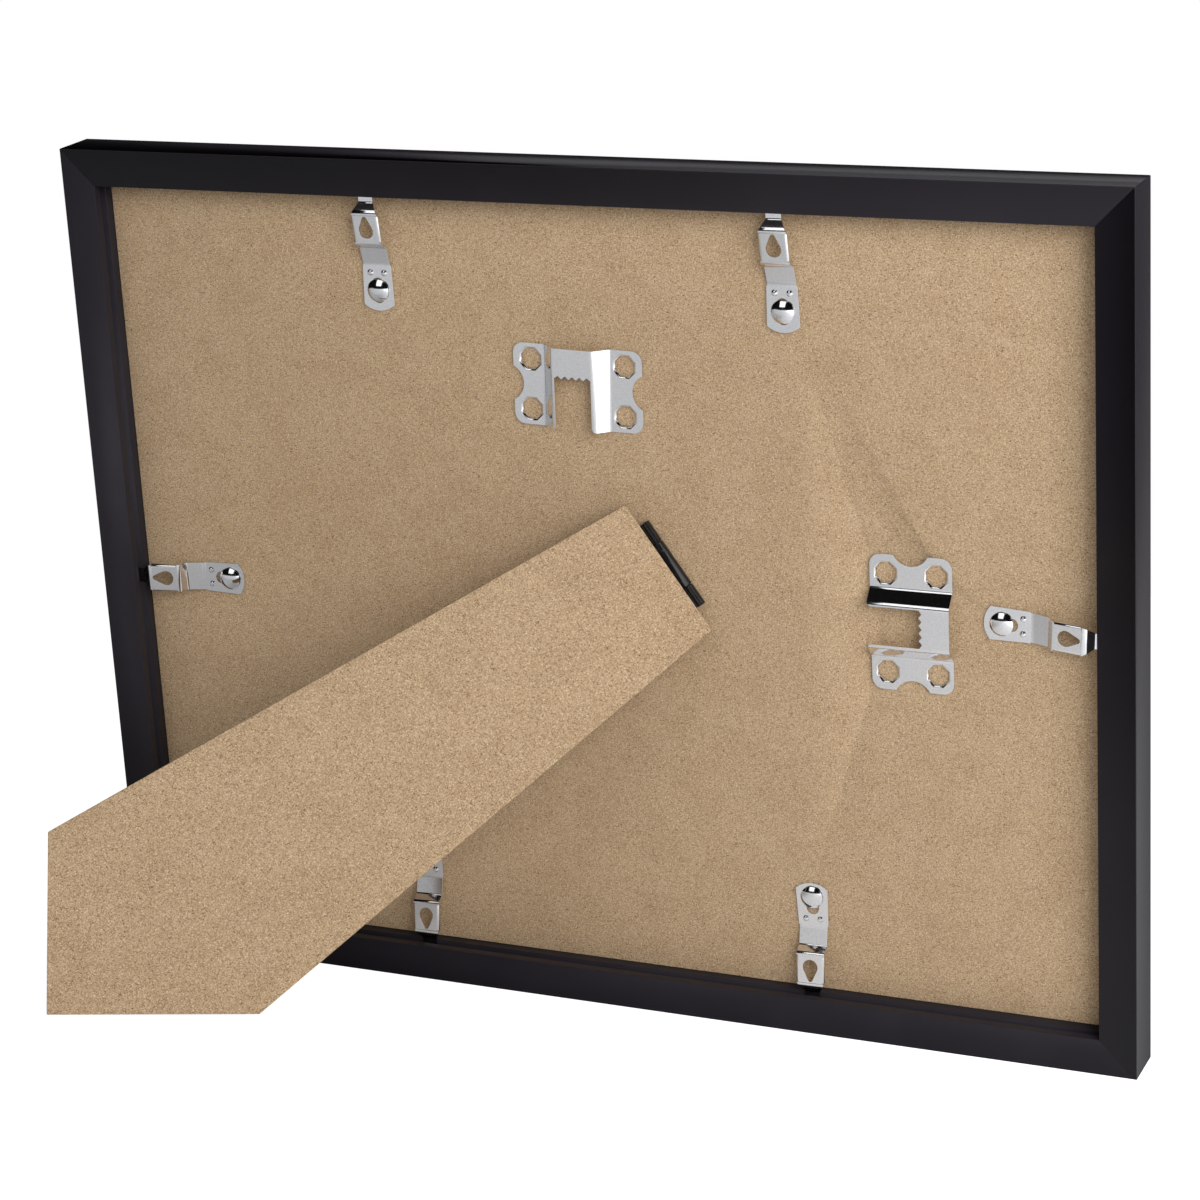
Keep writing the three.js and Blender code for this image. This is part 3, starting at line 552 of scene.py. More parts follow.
@dataclass(frozen=True)
class FibreboardFinish:
    """Bare fibreboard: tan, with a fine felted grain, short dark and pale fibres and a few specks."""

    name: str = "fibreboard"
    ground: Colour = srgb(192, 165, 132)
    cloud: Colour = srgb(185, 157, 124)
    dark: Colour = srgb(124, 95, 66)
    pale: Colour = srgb(230, 209, 178)
    fibre: Colour = srgb(112, 84, 58)
    speck: Colour = srgb(70, 50, 34)
    roughness: float = 0.82

    def material(self, turn: Sequence[float]) -> bpy.types.Material:
        """Draws the finish on a sheet that lies as the turn says.

        Args:
            turn: Turn from the piece's axes to the sheet's plane, in radians.

        Returns:
            The material.
        """
        sketch = Sketch(self.name)
        plain = sketch.position(turn)
        cloud = sketch.noise(plain, 0.09, detail=3, roughness=0.6)
        colour = sketch.mix(sketch.band(cloud, 0.35, 0.7), self.ground, self.cloud)
        felt = sketch.noise(plain, 2.6, detail=2, roughness=0.6)
        colour = sketch.mix(sketch.band(felt, 0.48, 0.26), colour, self.dark)
        colour = sketch.mix(sketch.band(felt, 0.52, 0.76), colour, self.pale)
        height = felt
        for number, angle in enumerate((12, 57, 98, 151)):
            across = (turn[0], turn[1], turn[2] + math.radians(angle))
            fibres = sketch.noise(sketch.position(across, scale=(0.7, 3.6, 3.6)), 1 + 0.11 * number, detail=1)
            colour = sketch.mix(sketch.band(fibres, 0.65, 0.74, 0.85), colour, self.fibre)
            colour = sketch.mix(sketch.band(fibres, 0.3, 0.22, 0.5), colour, self.pale)
            height = sketch.sum(height, fibres)
        colour = sketch.mix(self.specks(sketch, plain), colour, self.speck)
        sketch.join(colour, sketch.shader.inputs["Base Color"])
        sketch.shader.inputs["Roughness"].default_value = self.roughness
        sketch.shader.inputs["Specular IOR Level"].default_value = 0.25
        sketch.bump(height, 0.3, 0.05)
        return sketch.material

    def specks(self, sketch: Sketch, plain: bpy.types.NodeSocket) -> bpy.types.NodeSocket:
        """Sparse dark specks, a few in each square inch.

        Args:
            sketch: The material being drawn.
            plain: Position on the sheet.

        Returns:
            1 on a speck and 0 elsewhere.
        """
        cells = sketch.add("ShaderNodeTexVoronoi", feature="F1")
        cells.inputs["Scale"].default_value = 0.3
        sketch.join(plain, cells.inputs["Vector"])
        chance = sketch.add("ShaderNodeSeparateColor")
        sketch.join(cells.outputs["Color"], chance.inputs[0])
        dot = sketch.band(cells.outputs["Distance"], 0.085, 0.04, 0.9)
        return sketch.sum(dot, sketch.band(chance.outputs[0], 0.72, 0.95), "MULTIPLY")


@dataclass(frozen=True)
class MouldingFinish:
    """Near-black satin foil on the rails, with a fine pebble."""

    name: str = "moulding"
    ground: Colour = srgb(41, 38, 44)
    worn: Colour = srgb(44, 41, 47)
    roughness: float = 0.42

    def material(self) -> bpy.types.Material:
        """Draws the finish."""
        sketch = Sketch(self.name)
        plain = sketch.position()
        patch = sketch.noise(plain, 0.05, detail=3)
        sketch.join(sketch.mix(sketch.band(patch, 0.4, 0.75), self.ground, self.worn), sketch.shader.inputs["Base Color"])
        grain = sketch.noise(plain, 5, detail=2)
        rough = sketch.band(grain, 0.2, 0.8, 0.12)
        base = sketch.add("ShaderNodeMath", operation="ADD")
        base.inputs[1].default_value = self.roughness - 0.06
        sketch.join(rough, base.inputs[0])
        sketch.join(base.outputs[0], sketch.shader.inputs["Roughness"])
        sketch.shader.inputs["Specular IOR Level"].default_value = 0.2
        sketch.bump(grain, 0.12, 0.02)
        return sketch.material


@dataclass(frozen=True)
class PlatedFinish:
    """Bright plated pressed steel with a faint rolled grain and a few dull patches."""

    name: str = "plated"
    bright: Colour = srgb(243, 244, 247)
    dull: Colour = srgb(235, 236, 240)
    roughness: float = 0.08
    dull_roughness: float = 0.05

    def material(self) -> bpy.types.Material:
        """Draws the finish."""
        sketch = Sketch(self.name)
        plain = sketch.position()
        patch = sketch.noise(plain, 2.2, detail=3)
        colour = sketch.mix(sketch.band(patch, 0.35, 0.7), self.bright, self.dull)
        sketch.join(colour, sketch.shader.inputs["Base Color"])
        sketch.shader.inputs["Metallic"].default_value = 1
        rough = sketch.add("ShaderNodeMath", operation="ADD")
        rough.inputs[1].default_value = self.roughness
        sketch.join(sketch.band(patch, 0.3, 0.8, self.dull_roughness), rough.inputs[0])
        sketch.join(rough.outputs[0], sketch.shader.inputs["Roughness"])
        grain = sketch.noise(sketch.position(scale=(0.5, 5, 5)), 1.2, detail=2)
        sketch.bump(grain, 0.04, 0.01)
        return sketch.material


@dataclass(frozen=True)
class BlackMetalFinish:
    """Gloss black coating on the hinge."""

    name: str = "black_metal"
    ground: Colour = srgb(20, 19, 21)
    rubbed: Colour = srgb(44, 42, 44)
    roughness: float = 0.14

    def material(self) -> bpy.types.Material:
        """Draws the finish."""
        sketch = Sketch(self.name)
        patch = sketch.noise(sketch.position(), 1.1, detail=4)
        colour = sketch.mix(sketch.band(patch, 0.55, 0.8), self.ground, self.rubbed)
        sketch.join(colour, sketch.shader.inputs["Base Color"])
        rough = sketch.add("ShaderNodeMath", operation="ADD")
        rough.inputs[1].default_value = self.roughness
        sketch.join(sketch.band(patch, 0.4, 0.8, 0.12), rough.inputs[0])
        sketch.join(rough.outputs[0], sketch.shader.inputs["Roughness"])
        sketch.shader.inputs["Specular IOR Level"].default_value = 0.8
        sketch.bump(patch, 0.08, 0.02)
        return sketch.material


@dataclass(frozen=True)
class NailFinish:
    """Plain steel of the V-nails."""

    name: str = "nail_steel"
    bright: Colour = srgb(150, 152, 156)
    dull: Colour = srgb(112, 112, 116)
    roughness: float = 0.4

    def material(self) -> bpy.types.Material:
        """Draws the finish."""
        sketch = Sketch(self.name)
        streak = sketch.noise(sketch.position(scale=(0.3, 4, 4)), 1.2, detail=3)
        colour = sketch.mix(sketch.band(streak, 0.35, 0.7), self.bright, self.dull)
        sketch.join(colour, sketch.shader.inputs["Base Color"])
        sketch.shader.inputs["Metallic"].default_value = 1
        sketch.shader.inputs["Roughness"].default_value = self.roughness
        return sketch.material


@dataclass(frozen=True)
class PaperFinish:
    """Cream certificate paper with a plain double border and nothing written on it."""

    name: str = "sheet"
    ground: Colour = srgb(244, 238, 222)
    fleck: Colour = srgb(232, 222, 198)
    line: Colour = srgb(150, 124, 72)
    roughness: float = 0.8
    half_width: float = 139.7
    half_height: float = 107.95

    def material(self, view: BackView) -> bpy.types.Material:
        """Draws the paper and its border.

        Args:
            view: The back view, in whose plane the sheet lies.

        Returns:
            The material.
        """
        sketch = Sketch(self.name)
        lean = math.atan2(view.up.y, view.up.z)
        plain = sketch.position()
        fleck = sketch.noise(plain, 1.3, detail=4, roughness=0.7)
        colour = sketch.mix(sketch.band(fleck, 0.5, 0.75, 0.6), self.ground, self.fleck)
        for inset, width in ((13.0, 1.1), (15.6, 0.35)):
            colour = sketch.mix(self.border(sketch, view, lean, inset, width), colour, self.line)
        sketch.join(colour, sketch.shader.inputs["Base Color"])
        sketch.shader.inputs["Roughness"].default_value = self.roughness
        sketch.bump(fleck, 0.1, 0.02)
        return sketch.material

    def border(
        self, sketch: Sketch, view: BackView, lean: float, inset: float, width: float
    ) -> bpy.types.NodeSocket:
        """A line all round the sheet at one distance from its edge.

        Args:
            sketch: The material being drawn.
            view: The back view.
            lean: How far the frame leans back, in radians.
            inset: Distance of the line from the sheet's edge, in millimetres.
            width: Width of the line, in millimetres.

        Returns:
            1 on the line and 0 elsewhere.
        """
        coordinates = sketch.add("ShaderNodeTexCoord")
        mapping = sketch.add("ShaderNodeMapping", vector_type="TEXTURE")
        mapping.inputs["Location"].default_value = view.origin
        mapping.inputs["Rotation"].default_value = (-lean, 0, 0)
        mapping.inputs["Scale"].default_value = [MM] * 3
        sketch.join(coordinates.outputs["Object"], mapping.inputs["Vector"])
        parts = sketch.add("ShaderNodeSeparateXYZ")
        sketch.join(mapping.outputs["Vector"], parts.inputs[0])
        distances = []
        for output, half in ((parts.outputs["X"], self.half_width), (parts.outputs["Z"], self.half_height)):
            size = sketch.add("ShaderNodeMath", operation="ABSOLUTE")
            sketch.join(output, size.inputs[0])
            left = sketch.add("ShaderNodeMath", operation="SUBTRACT")
            left.inputs[0].default_value = half - inset
            sketch.join(size.outputs[0], left.inputs[1])
            distances.append(left.outputs[0])
        nearest = sketch.sum(distances[0], distances[1], "MINIMUM")
        off = sketch.add("ShaderNodeMath", operation="ABSOLUTE")
        sketch.join(nearest, off.inputs[0])
        return sketch.band(off.outputs[0], width / 2 + 0.04, width / 2 - 0.04)


@dataclass(frozen=True)
class GlazingFinish:
    """Clear pane."""

    name: str = "glazing"
    tint: Colour = (0.96, 0.98, 0.98)
    roughness: float = 0.02

    def material(self) -> bpy.types.Material:
        """Draws the finish, with the faintest unevenness of a rolled pane."""
        sketch = Sketch(self.name)
        wave = sketch.noise(sketch.position(), 0.02, detail=1)
        haze = sketch.band(wave, 0.3, 0.8, 0.02)
        sketch.join(haze, sketch.shader.inputs["Roughness"])
        sketch.shader.inputs["Base Color"].default_value = (*self.tint, 1)
        sketch.shader.inputs["Transmission Weight"].default_value = 1
        sketch.shader.inputs["IOR"].default_value = 1.49
        return sketch.material


def dress(piece: bpy.types.Object, material: bpy.types.Material) -> None:
    """Gives a piece its one material."""
    piece.data.materials.clear()
    piece.data.materials.append(material)


def finish_piece(
    piece: bpy.types.Object, material: bpy.types.Material, body: str, node: str
) -> None:
    """Dresses a piece, puts it in its node's place and reports it.

    Args:
        piece: The finished piece.
        material: Its material.
        body: The body that it rides on.
        node: The CAD node that it stands for.
    """
    dress(piece, material)
    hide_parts(node)
    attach(piece, body)
    log.info("%s: %d faces", piece.name, len(piece.data.polygons))


@dataclass
class Moulding:
    """The four mitred rails."""

    view: BackView
    body: str = "frame"
    rear_lip: float = 2.6
    groove_height: float = 2.8
    groove_depth: float = 4.0
    front_bevel: float = 0.8
    edge_radius: float = 0.2
    mitre_gap: float = 0.06
    flat_area: float = 150

    def section(self) -> list[Point]:
        """The moulding's section: inwards from the outer side, and height from the back face."""
        rail, lip = LAYERS.rail_width, LAYERS.rail_width + LAYERS.lip_reach
        front, back = LAYERS.rail_front, LAYERS.lip_back
        return [
            (0, 0),
            (0, front),
            (lip - self.front_bevel, front),
            (lip, front + self.front_bevel),
            (lip, back),
            (rail, back),
            (rail, -self.rear_lip - self.groove_height),
            (rail - self.groove_depth, -self.rear_lip - self.groove_height),
            (rail - self.groove_depth, -self.rear_lip),
            (rail, -self.rear_lip),
            (rail, 0),
            (0, 0),
        ]

    def rail(self, name: str, length: float) -> bpy.types.Object:
        """A rail along x, its outer side at y = 0 and its body towards +y, mitred at both ends.

        Args:
            name: Name of the piece.
            length: Outer length of the rail.

        Returns:
            The rail.
        """
        spare = 5
        piece = Bench.chain(name, [(-length / 2 - spare, y, z) for y, z in self.section()])
        bpy.ops.mesh.remove_doubles(threshold=0.002)
        bpy.ops.mesh.edge_face_add()
        Bench.extrude((length + 2 * spare, 0, 0))
        Bench.tidy(piece)
        Bench.soften(piece, self.edge_radius, segments=3, flat=self.flat_area)
        short = length / 2 - self.mitre_gap / math.sqrt(2)
        for side in (-1, 1):
            Bench.pick(piece, lambda point: True)
            bpy.ops.mesh.bisect(
                plane_co=(side * short, 0, 0),
                plane_no=(side, 1, 0),
                use_fill=True,
                clear_outer=True,
            )
        Bench.tidy(piece)
        Bench.shade(piece, self.flat_area)
        return piece

    def build(self, material: bpy.types.Material) -> None:
        """Builds the four rails and puts them in place."""
        width, height = LAYERS.frame_width, LAYERS.frame_height
        for node, length, out, turn in (
            ("bottom_rail", width, height / 2, 0),
            ("right_rail", height, width / 2, 90),
            ("top_rail", width, height / 2, 180),
            ("left_rail", height, width / 2, -90),
        ):
            angle = math.radians(turn)
            rail = self.rail(f"{node}_moulded", length)
            spot = Matrix.Translation((out * math.sin(angle), -out * math.cos(angle), 0))
            Bench.place(rail, self.view.matrix @ spot @ Matrix.Rotation(angle, 4, "Z"))
            finish_piece(rail, material, self.body, node)


@dataclass(frozen=True)
class RivetSize:
    """Sizes of a clip's rivet, in millimetres."""

    dome_radius: float = 3.15
    dome_height: float = 1.35
    dome_edge: float = 0.25
    shank_radius: float = 1.65
    shank_clearance: float = 0.1
    foot_radius: float = 2.6
    foot_thickness: float = 0.6
    foot_recess: float = 0.3


@dataclass(frozen=True)
class ClipPlace:
    """Where a clip sits in its slot."""

    name: str
    towards: Towards
    push: float


@dataclass
class SpringClips:
    """The six clips, each on its domed rivet."""

    view: BackView
    joints: dict[str, dict]
    rivet: RivetSize = RivetSize()
    sheet: float = 0.6
    length: float = 34
    bends: tuple[float, ...] = (0.8, 0.45, 0.45, 0.7, 0.7)
    pad_length: float = 12.8
    pad_neck: float = 12.3
    pad_width: float = 9.2
    neck_width: float = 8.5
    pad_end_radius: float = 7.1
    strip_width: float = 8
    ramp_run: float = 5.1
    ramp_rise: float = 1.5
    step_run: float = 1.2
    plate_run: float = 8.9
    plate_rise: float = 1.4
    plate_corner: float = 0.9
    flange_drop: float = 0.9
    flange_bend: float = 0.45
    descent_run: float = 2.3
    descent_drop: float = 1.7
    tongue_width: float = 4.2
    tongue_top: float = -3.75
    slot_width: float = 3.5
    slot_start: float = 3.9
    slot_end: float = 7.35
    bump_station: float = 10.5
    bump_spread: float = 4.1
    tear_station: float = 22.9
    tear_radius: float = 2.1
    tear_reach: float = 3.3
    tear_tip_radius: float = 0.7
    bump_radius: float = 0.9
    bump_height: float = 0.68
    edge: float = 0.2
    places: tuple[ClipPlace, ...] = (
        ClipPlace("top_left", Towards.TOP, 0),
        ClipPlace("top_right", Towards.TOP, 0),
        ClipPlace("right", Towards.RIGHT, 0.85),
        ClipPlace("bottom_right", Towards.BOTTOM, 1.55),
        ClipPlace("bottom_left", Towards.BOTTOM, 1.35),
        ClipPlace("left", Towards.LEFT, 1.1),
    )

    @property
    def pad_top(self) -> float:
        """Height of the pad's upper face."""
        return LAYERS.board_back + LAYERS.seat_gap + self.sheet

    @property
    def flange_start(self) -> float:
        """Where the turned-down edges of the plate start."""
        return self.pad_length + self.ramp_run + self.step_run + self.bends[2] + 0.15

    def half_width(self, x: float) -> float:
        """Half the strip's width at a distance from the pad's end."""
        corner = self.pad_end_radius - math.sqrt(self.pad_end_radius**2 - (self.pad_width / 2) ** 2)
        plate_end = self.pad_length + self.ramp_run + self.step_run + self.plate_run
        tongue = plate_end + self.descent_run
        if x < corner:
            return max(0.4, math.sqrt(self.pad_end_radius**2 - (self.pad_end_radius - x) ** 2))
        if x <= self.pad_neck:
            share = (x - corner) / (self.pad_neck - corner)
            return (self.pad_width + (self.neck_width - self.pad_width) * share) / 2
        if x <= plate_end - self.plate_corner:
            share = min(1, (x - self.pad_neck) / 0.4)
            folded = self.sheet + 2 * self.flange_bend if x > self.flange_start else 0
            return (self.neck_width + (self.strip_width - self.neck_width) * share - folded) / 2
        if x <= plate_end:
            share = (x - plate_end + self.plate_corner) / self.plate_corner
            return (self.strip_width - self.plate_corner * share) / 2
        if x <= tongue:
            share = (x - plate_end) / self.descent_run
            wide = self.strip_width - self.plate_corner
            return (wide + (self.tongue_width - wide) * share) / 2
        if x < self.length - self.sheet:
            return self.tongue_width / 2
        share = (x - self.length + self.sheet) / self.sheet
        return self.tongue_width / 2 - self.sheet * 0.8 * share

    def path(self) -> list[Point]:
        """The middle of the sheet from the pad's end to the tongue's tip."""
        low = self.pad_top - self.sheet / 2
        high = self.tongue_top - self.sheet / 2 + self.descent_drop
        ramp = self.pad_length + self.ramp_run
        plate = ramp + self.step_run
        end = plate + self.plate_run
        corners = [
            (0, low),
            (self.pad_length, low),
            (ramp, low + self.ramp_rise),
            (plate, high - self.plate_rise),
            (end, high),
            (end + self.descent_run, high - self.descent_drop),
            (self.length, high - self.descent_drop),
        ]
        path = rounded_path(corners, self.bends)
        extra = [0.12, 0.3, 0.6, 1.0, 1.67, self.pad_neck, self.length - self.sheet]
        flat = [(x, low) for x in extra[:-1]] + [(extra[-1], high - self.descent_drop)]
        rise = self.plate_rise / self.plate_run
        edges = (plate + self.bends[2] + 0.05, plate + self.bends[2] + 0.25, end - self.plate_corner)
        raised = [(x, high - self.plate_rise + (x - plate) * rise) for x in edges]
        return sorted(set(path + flat + raised))

    def strip(self) -> bpy.types.Object:
        """The bent strip as a single sheet, an edge extruded from station to station."""
        path = self.path()
        half = self.half_width(0)
        start = [(0, -half, path[0][1]), (0, half, path[0][1])]
        piece = Bench.chain("clip_pattern", start)
        for before, after in zip(path, path[1:]):
            Bench.extrude((after[0] - before[0], 0, after[1] - before[1]))
            ratio = self.half_width(after[0]) / self.half_width(before[0])
            bpy.ops.transform.resize(value=(1, ratio, 1), center_override=(after[0], 0, after[1]))
        return piece

    def turn_down_edges(self, piece: bpy.types.Object) -> None:
        """Turns down the two long edges of the raised plate round a small bend."""
        start = self.flange_start
        end = start + self.plate_run - self.bends[2] - self.plate_corner
        half = (self.strip_width - self.sheet) / 2 - self.flange_bend
        turns = [math.radians(angle) for angle in (0, 30, 60, 90)]
        steps = [
            (self.flange_bend * (math.sin(b) - math.sin(a)), self.flange_bend * (math.cos(b) - math.cos(a)))
            for a, b in zip(turns, turns[1:])
        ]
        steps.append((0, self.flange_bend - self.flange_drop))
        for side in (-1, 1):
            Bench.pick(
                piece,
                lambda point, side=side: start < point.x < end + 0.05 and side * point.y > half - 0.02,
                Select.EDGES,
            )
            for out, down in steps:
                Bench.extrude((0, side * out, down))

    def capsule(self) -> bpy.types.Object:
        """The tool that cuts the rivet's slot."""
        tool = Bench.prism("slot_tool", 48, self.slot_width / 2, self.pad_top - 4, self.pad_top + 2, (self.slot_start, 0))
        Bench.pick(tool, lambda point: point.x > self.slot_start - 1e-4)
        bpy.ops.transform.translate(value=(self.slot_end - self.slot_start, 0, 0))
        Bench.tidy(tool)
        return tool

    def teardrop(self) -> bpy.types.Object:
        """The tool that cuts the plate's teardrop hole."""
        side = math.degrees(math.acos((self.tear_radius - self.tear_tip_radius) / self.tear_reach))
        points = arc((self.tear_station, 0), self.tear_radius, side, 360 - side, 28)
        points += arc((self.tear_station + self.tear_reach, 0), self.tear_tip_radius, -side, side, 8)
        return Bench.outline("tear_tool", points, self.pad_top - 1, 0.5)

    def bump(self, side: int) -> bpy.types.Object:
        """One of the two raised bumps on the pad."""
        Bench.clear()
        bpy.ops.mesh.primitive_uv_sphere_add(
            segments=24,
            ring_count=14,
            radius=self.bump_radius,
            location=(self.bump_station, side * self.bump_spread / 2, self.pad_top - 0.05),
            scale=(1, 1, self.bump_height / self.bump_radius),
        )
        return Bench.named("bump_tool")

    def clip(self) -> bpy.types.Object:
        """The whole clip, from the pad's end along +x."""
        piece = self.strip()
        self.turn_down_edges(piece)
        Bench.clear()
        Bench.apply(
            piece, "SOLIDIFY", thickness=self.sheet, offset=0, use_even_offset=True, use_quality_normals=True
        )
        Bench.tidy(piece)
        Bench.combine(piece, self.capsule(), "DIFFERENCE")
        Bench.combine(piece, self.teardrop(), "DIFFERENCE")
        Bench.soften(piece, self.edge, segments=3, angle=40)
        for side in (-1, 1):
            Bench.combine(piece, self.bump(side), "UNION")
        Bench.shade(piece)
        return piece

    def rivet_piece(self) -> bpy.types.Object:
        """The rivet on the z axis: foot, shank and dome."""
        size = self.rivet
        front = LAYERS.board_front + size.foot_recess
        base = self.pad_top + LAYERS.seat_gap
        cap = size.dome_height - size.dome_edge
        sphere = (size.dome_radius**2 + cap**2) / (2 * cap)
        rim = math.degrees(math.asin(size.dome_radius / sphere))
        dome = arc((0, base + size.dome_height - sphere), sphere, 90 - rim, 90, 14)
        profile = [
            (0, front),
            (size.foot_radius - 0.15, front),
            (size.foot_radius, front + 0.15),
            (size.foot_radius, front + size.foot_thickness),
            (size.shank_radius, front + size.foot_thickness),
            (size.shank_radius, base),
            (size.dome_radius - 0.08, base),
            (size.dome_radius, base + 0.08),
            *dome,
        ]
        piece = Bench.turned("rivet_pattern", profile)
        Bench.shade(piece)
        return piece

    def build(self, material: bpy.types.Material) -> None:
        """Copies one clip and one rivet to the six places that the joints give."""
        clip = self.clip()
        rivet = self.rivet_piece()
        middle = (self.slot_start + self.slot_end) / 2
        for place in self.places:
            swivel = self.joints[f"clip_{place.name}_swivel"]
            slide = self.joints[f"clip_{place.name}_slide"]
            centre = self.view.bench_point(swivel["pos_m"])
            along = self.view.bench_direction(slide["axis"])
            angle = math.atan2(along.y, along.x)
            seat = self.view.matrix @ Matrix.Translation((centre.x, centre.y, 0)) @ Matrix.Rotation(angle, 4, "Z")
            dome = Bench.place(Bench.twin(rivet, f"rivet_{place.name}_domed"), seat)
            finish_piece(dome, material, f"rivet_{place.name}_body", f"rivet_{place.name}")
            shift = Matrix.Translation((place.push - middle, 0, 0))
            spring = Bench.place(Bench.twin(clip, f"clip_{place.name}_sprung"), seat @ shift)
            finish_piece(spring, material, f"clip_{place.name}_body", f"clip_{place.name}")
        for pattern in (clip, rivet):
            bpy.data.objects.remove(pattern)


@dataclass(frozen=True)
class Collars:
    """The octagonal collars by which a fitting is pressed into fibreboard."""

    flats: float
    spread: float
    pitch: float
    wall: float = 0.5
    fit: float = 0.04

    def places(self) -> list[Point]:
        """Where the collars are, round the middle of the fitting."""
        return [(x * self.spread / 2, y * self.pitch / 2) for x, y in ((1, 1), (-1, 1), (-1, -1), (1, -1))]

    def groove(self, name: str, at: Point, floor: float, top: float) -> bpy.types.Object:
        """The ring-shaped groove for one collar, as a tool.

        Args:
            name: Name of the tool.
            at: The middle of the collar.
            floor: Height of the closed end.
            top: Height of the open end.

        Returns:
            The tool.
        """
        ring = Bench.octagon(name, self.flats + 2 * (self.wall + self.fit), min(floor, top), max(floor, top), at)
        plug = Bench.octagon("plug_tool", self.flats - 2 * self.fit, min(floor, top) - 1, max(floor, top) + 1, at)
        Bench.combine(ring, plug, "DIFFERENCE")
        return ring


HANGER_COLLARS = Collars(flats=5.4, spread=27.1, pitch=13.75)
COLLAR_FLOOR = 0.7


@dataclass
class SawtoothHangers:
    """The two hangers, one for each way up."""

    view: BackView
    body: str = "frame"
    sheet: float = 0.7
    span: float = 37.2
    length: float = 22.4
    corner: float = 3
    bend: float = 0.7
    foot_width: float = 18.6
    top_width: float = 11.5
    rise: float = 3.5
    bar_width: float = 7.4
    arm_ledge: float = 0.5
    arm_corner: float = 1.4
    notches: int = 5
    notch_depth: float = 0.8
    waist_width: float = 9.3
    waist_depth: float = 2.9
    mouth_round: float = 0.68
    mouth_end: float = 100
    edge: float = 0.22
    flat_area: float = 12
    landscape_place: Point = (-1.9, 57.65)
    landscape_turn: float = -1.4
    portrait_place: Point = (89.55, -0.3)
    portrait_turn: float = -90

    def sheet_path(self) -> list[Point]:
        """The middle of the sheet across the hanger, in width and height."""
        low = LAYERS.board_back + LAYERS.seat_gap + self.sheet / 2
        corners = [
            (-self.span / 2 - 1, low),
            (-self.foot_width / 2, low),
            (-self.top_width / 2, low + self.rise),
            (self.top_width / 2, low + self.rise),
            (self.foot_width / 2, low),
            (self.span / 2 + 1, low),
        ]
        return rounded_path(corners, [self.bend] * 4, steps=8)

    def plan(self) -> list[Point]:
        """The outline in plan: round corners and a waist in both short sides."""
        half, long, radius = self.span / 2, self.length / 2, self.corner
        waist = ((self.waist_width / 2) ** 2 + self.waist_depth**2) / (2 * self.waist_depth)
        swing = math.degrees(math.asin(self.waist_width / 2 / waist))
        centre = half - self.waist_depth + waist
        right = arc((half - radius, radius - long), radius, -90, 0, 10)
        right += arc((centre, 0), waist, 180 + swing, 180 - swing, 20)
        right += arc((half - radius, long - radius), radius, 0, 90, 10)
        return right + [(-x, -y) for x, y in right]

    @property
    def opening_half(self) -> float:
        """Half the width of the cut-out between the arms."""
        return self.top_width / 2 - self.arm_ledge

    @property
    def notch_root(self) -> float:
        """How far up the notches reach."""
        return self.length / 2 - self.bar_width

    def opening(self) -> list[Point]:
        """The cut-out between the arms, round at its mouth, without its notches."""
        half, tip = self.opening_half, self.notch_root - self.notch_depth
        round_x, round_y = half + self.arm_corner, self.arm_corner - self.length / 2
        points = [(round_x, -self.length)] + arc((round_x, round_y), self.arm_corner, 270, 180, 8)
        points += [(half, tip), (-half, tip)]
        points += arc((-round_x, round_y), self.arm_corner, 0, -90, 8)
        return points + [(-round_x, -self.length)]

    def teeth(self) -> list[Point]:
        """The row of notches that is cut into the bar above the opening."""
        half, root = self.opening_half, self.notch_root
        tip = root - self.notch_depth
        pitch = 2 * half / self.notches
        points = [(half, tip - 1), (half, tip + 0.35), (half - 0.1, tip + 0.15)]
        for notch in range(self.notches):
            middle = half - (notch + 0.5) * pitch
            points += [(middle + 0.22, root - 0.08), (middle, root), (middle - 0.22, root - 0.08)]
            if notch < self.notches - 1:
                valley = middle - pitch / 2
                points += [(valley + 0.12, tip + 0.06), (valley - 0.12, tip + 0.06)]
        return points + [(0.1 - half, tip + 0.15), (-half, tip + 0.35), (-half, tip - 1)]

    def hanger(self) -> bpy.types.Object:
        """The hanger with its bar on the +y side."""
        path = self.sheet_path()
        piece = Bench.chain("hanger_pattern", [(x, -self.length / 2 - 1, z) for x, z in path])
        Bench.extrude((0, self.length + 2, 0))
        Bench.tidy(piece)
        Bench.apply(piece, "SOLIDIFY", thickness=self.sheet, offset=0, use_even_offset=True, use_quality_normals=True)
        Bench.tidy(piece)
        Bench.combine(piece, Bench.outline("plan_tool", self.plan(), LAYERS.board_back - 1, 0), "INTERSECT")
        Bench.combine(piece, Bench.outline("opening_tool", self.opening(), LAYERS.board_back - 1, 0), "DIFFERENCE")
        Bench.soften(piece, self.edge, segments=3, angle=50)
        middle = LAYERS.board_back + LAYERS.seat_gap + self.sheet / 2
        floor = LAYERS.board_front + COLLAR_FLOOR
        size = HANGER_COLLARS
        for at in size.places():
            Bench.combine(piece, Bench.octagon("collar_tool", size.flats + 2 * size.wall, floor, middle, at), "UNION")
        for at in size.places():
            Bench.combine(piece, self.bore(at, floor - 1), "DIFFERENCE")
        Bench.combine(piece, Bench.outline("teeth_tool", self.teeth(), LAYERS.board_back - 1, 0), "DIFFERENCE")
        Bench.shade(piece, self.flat_area)
        return piece

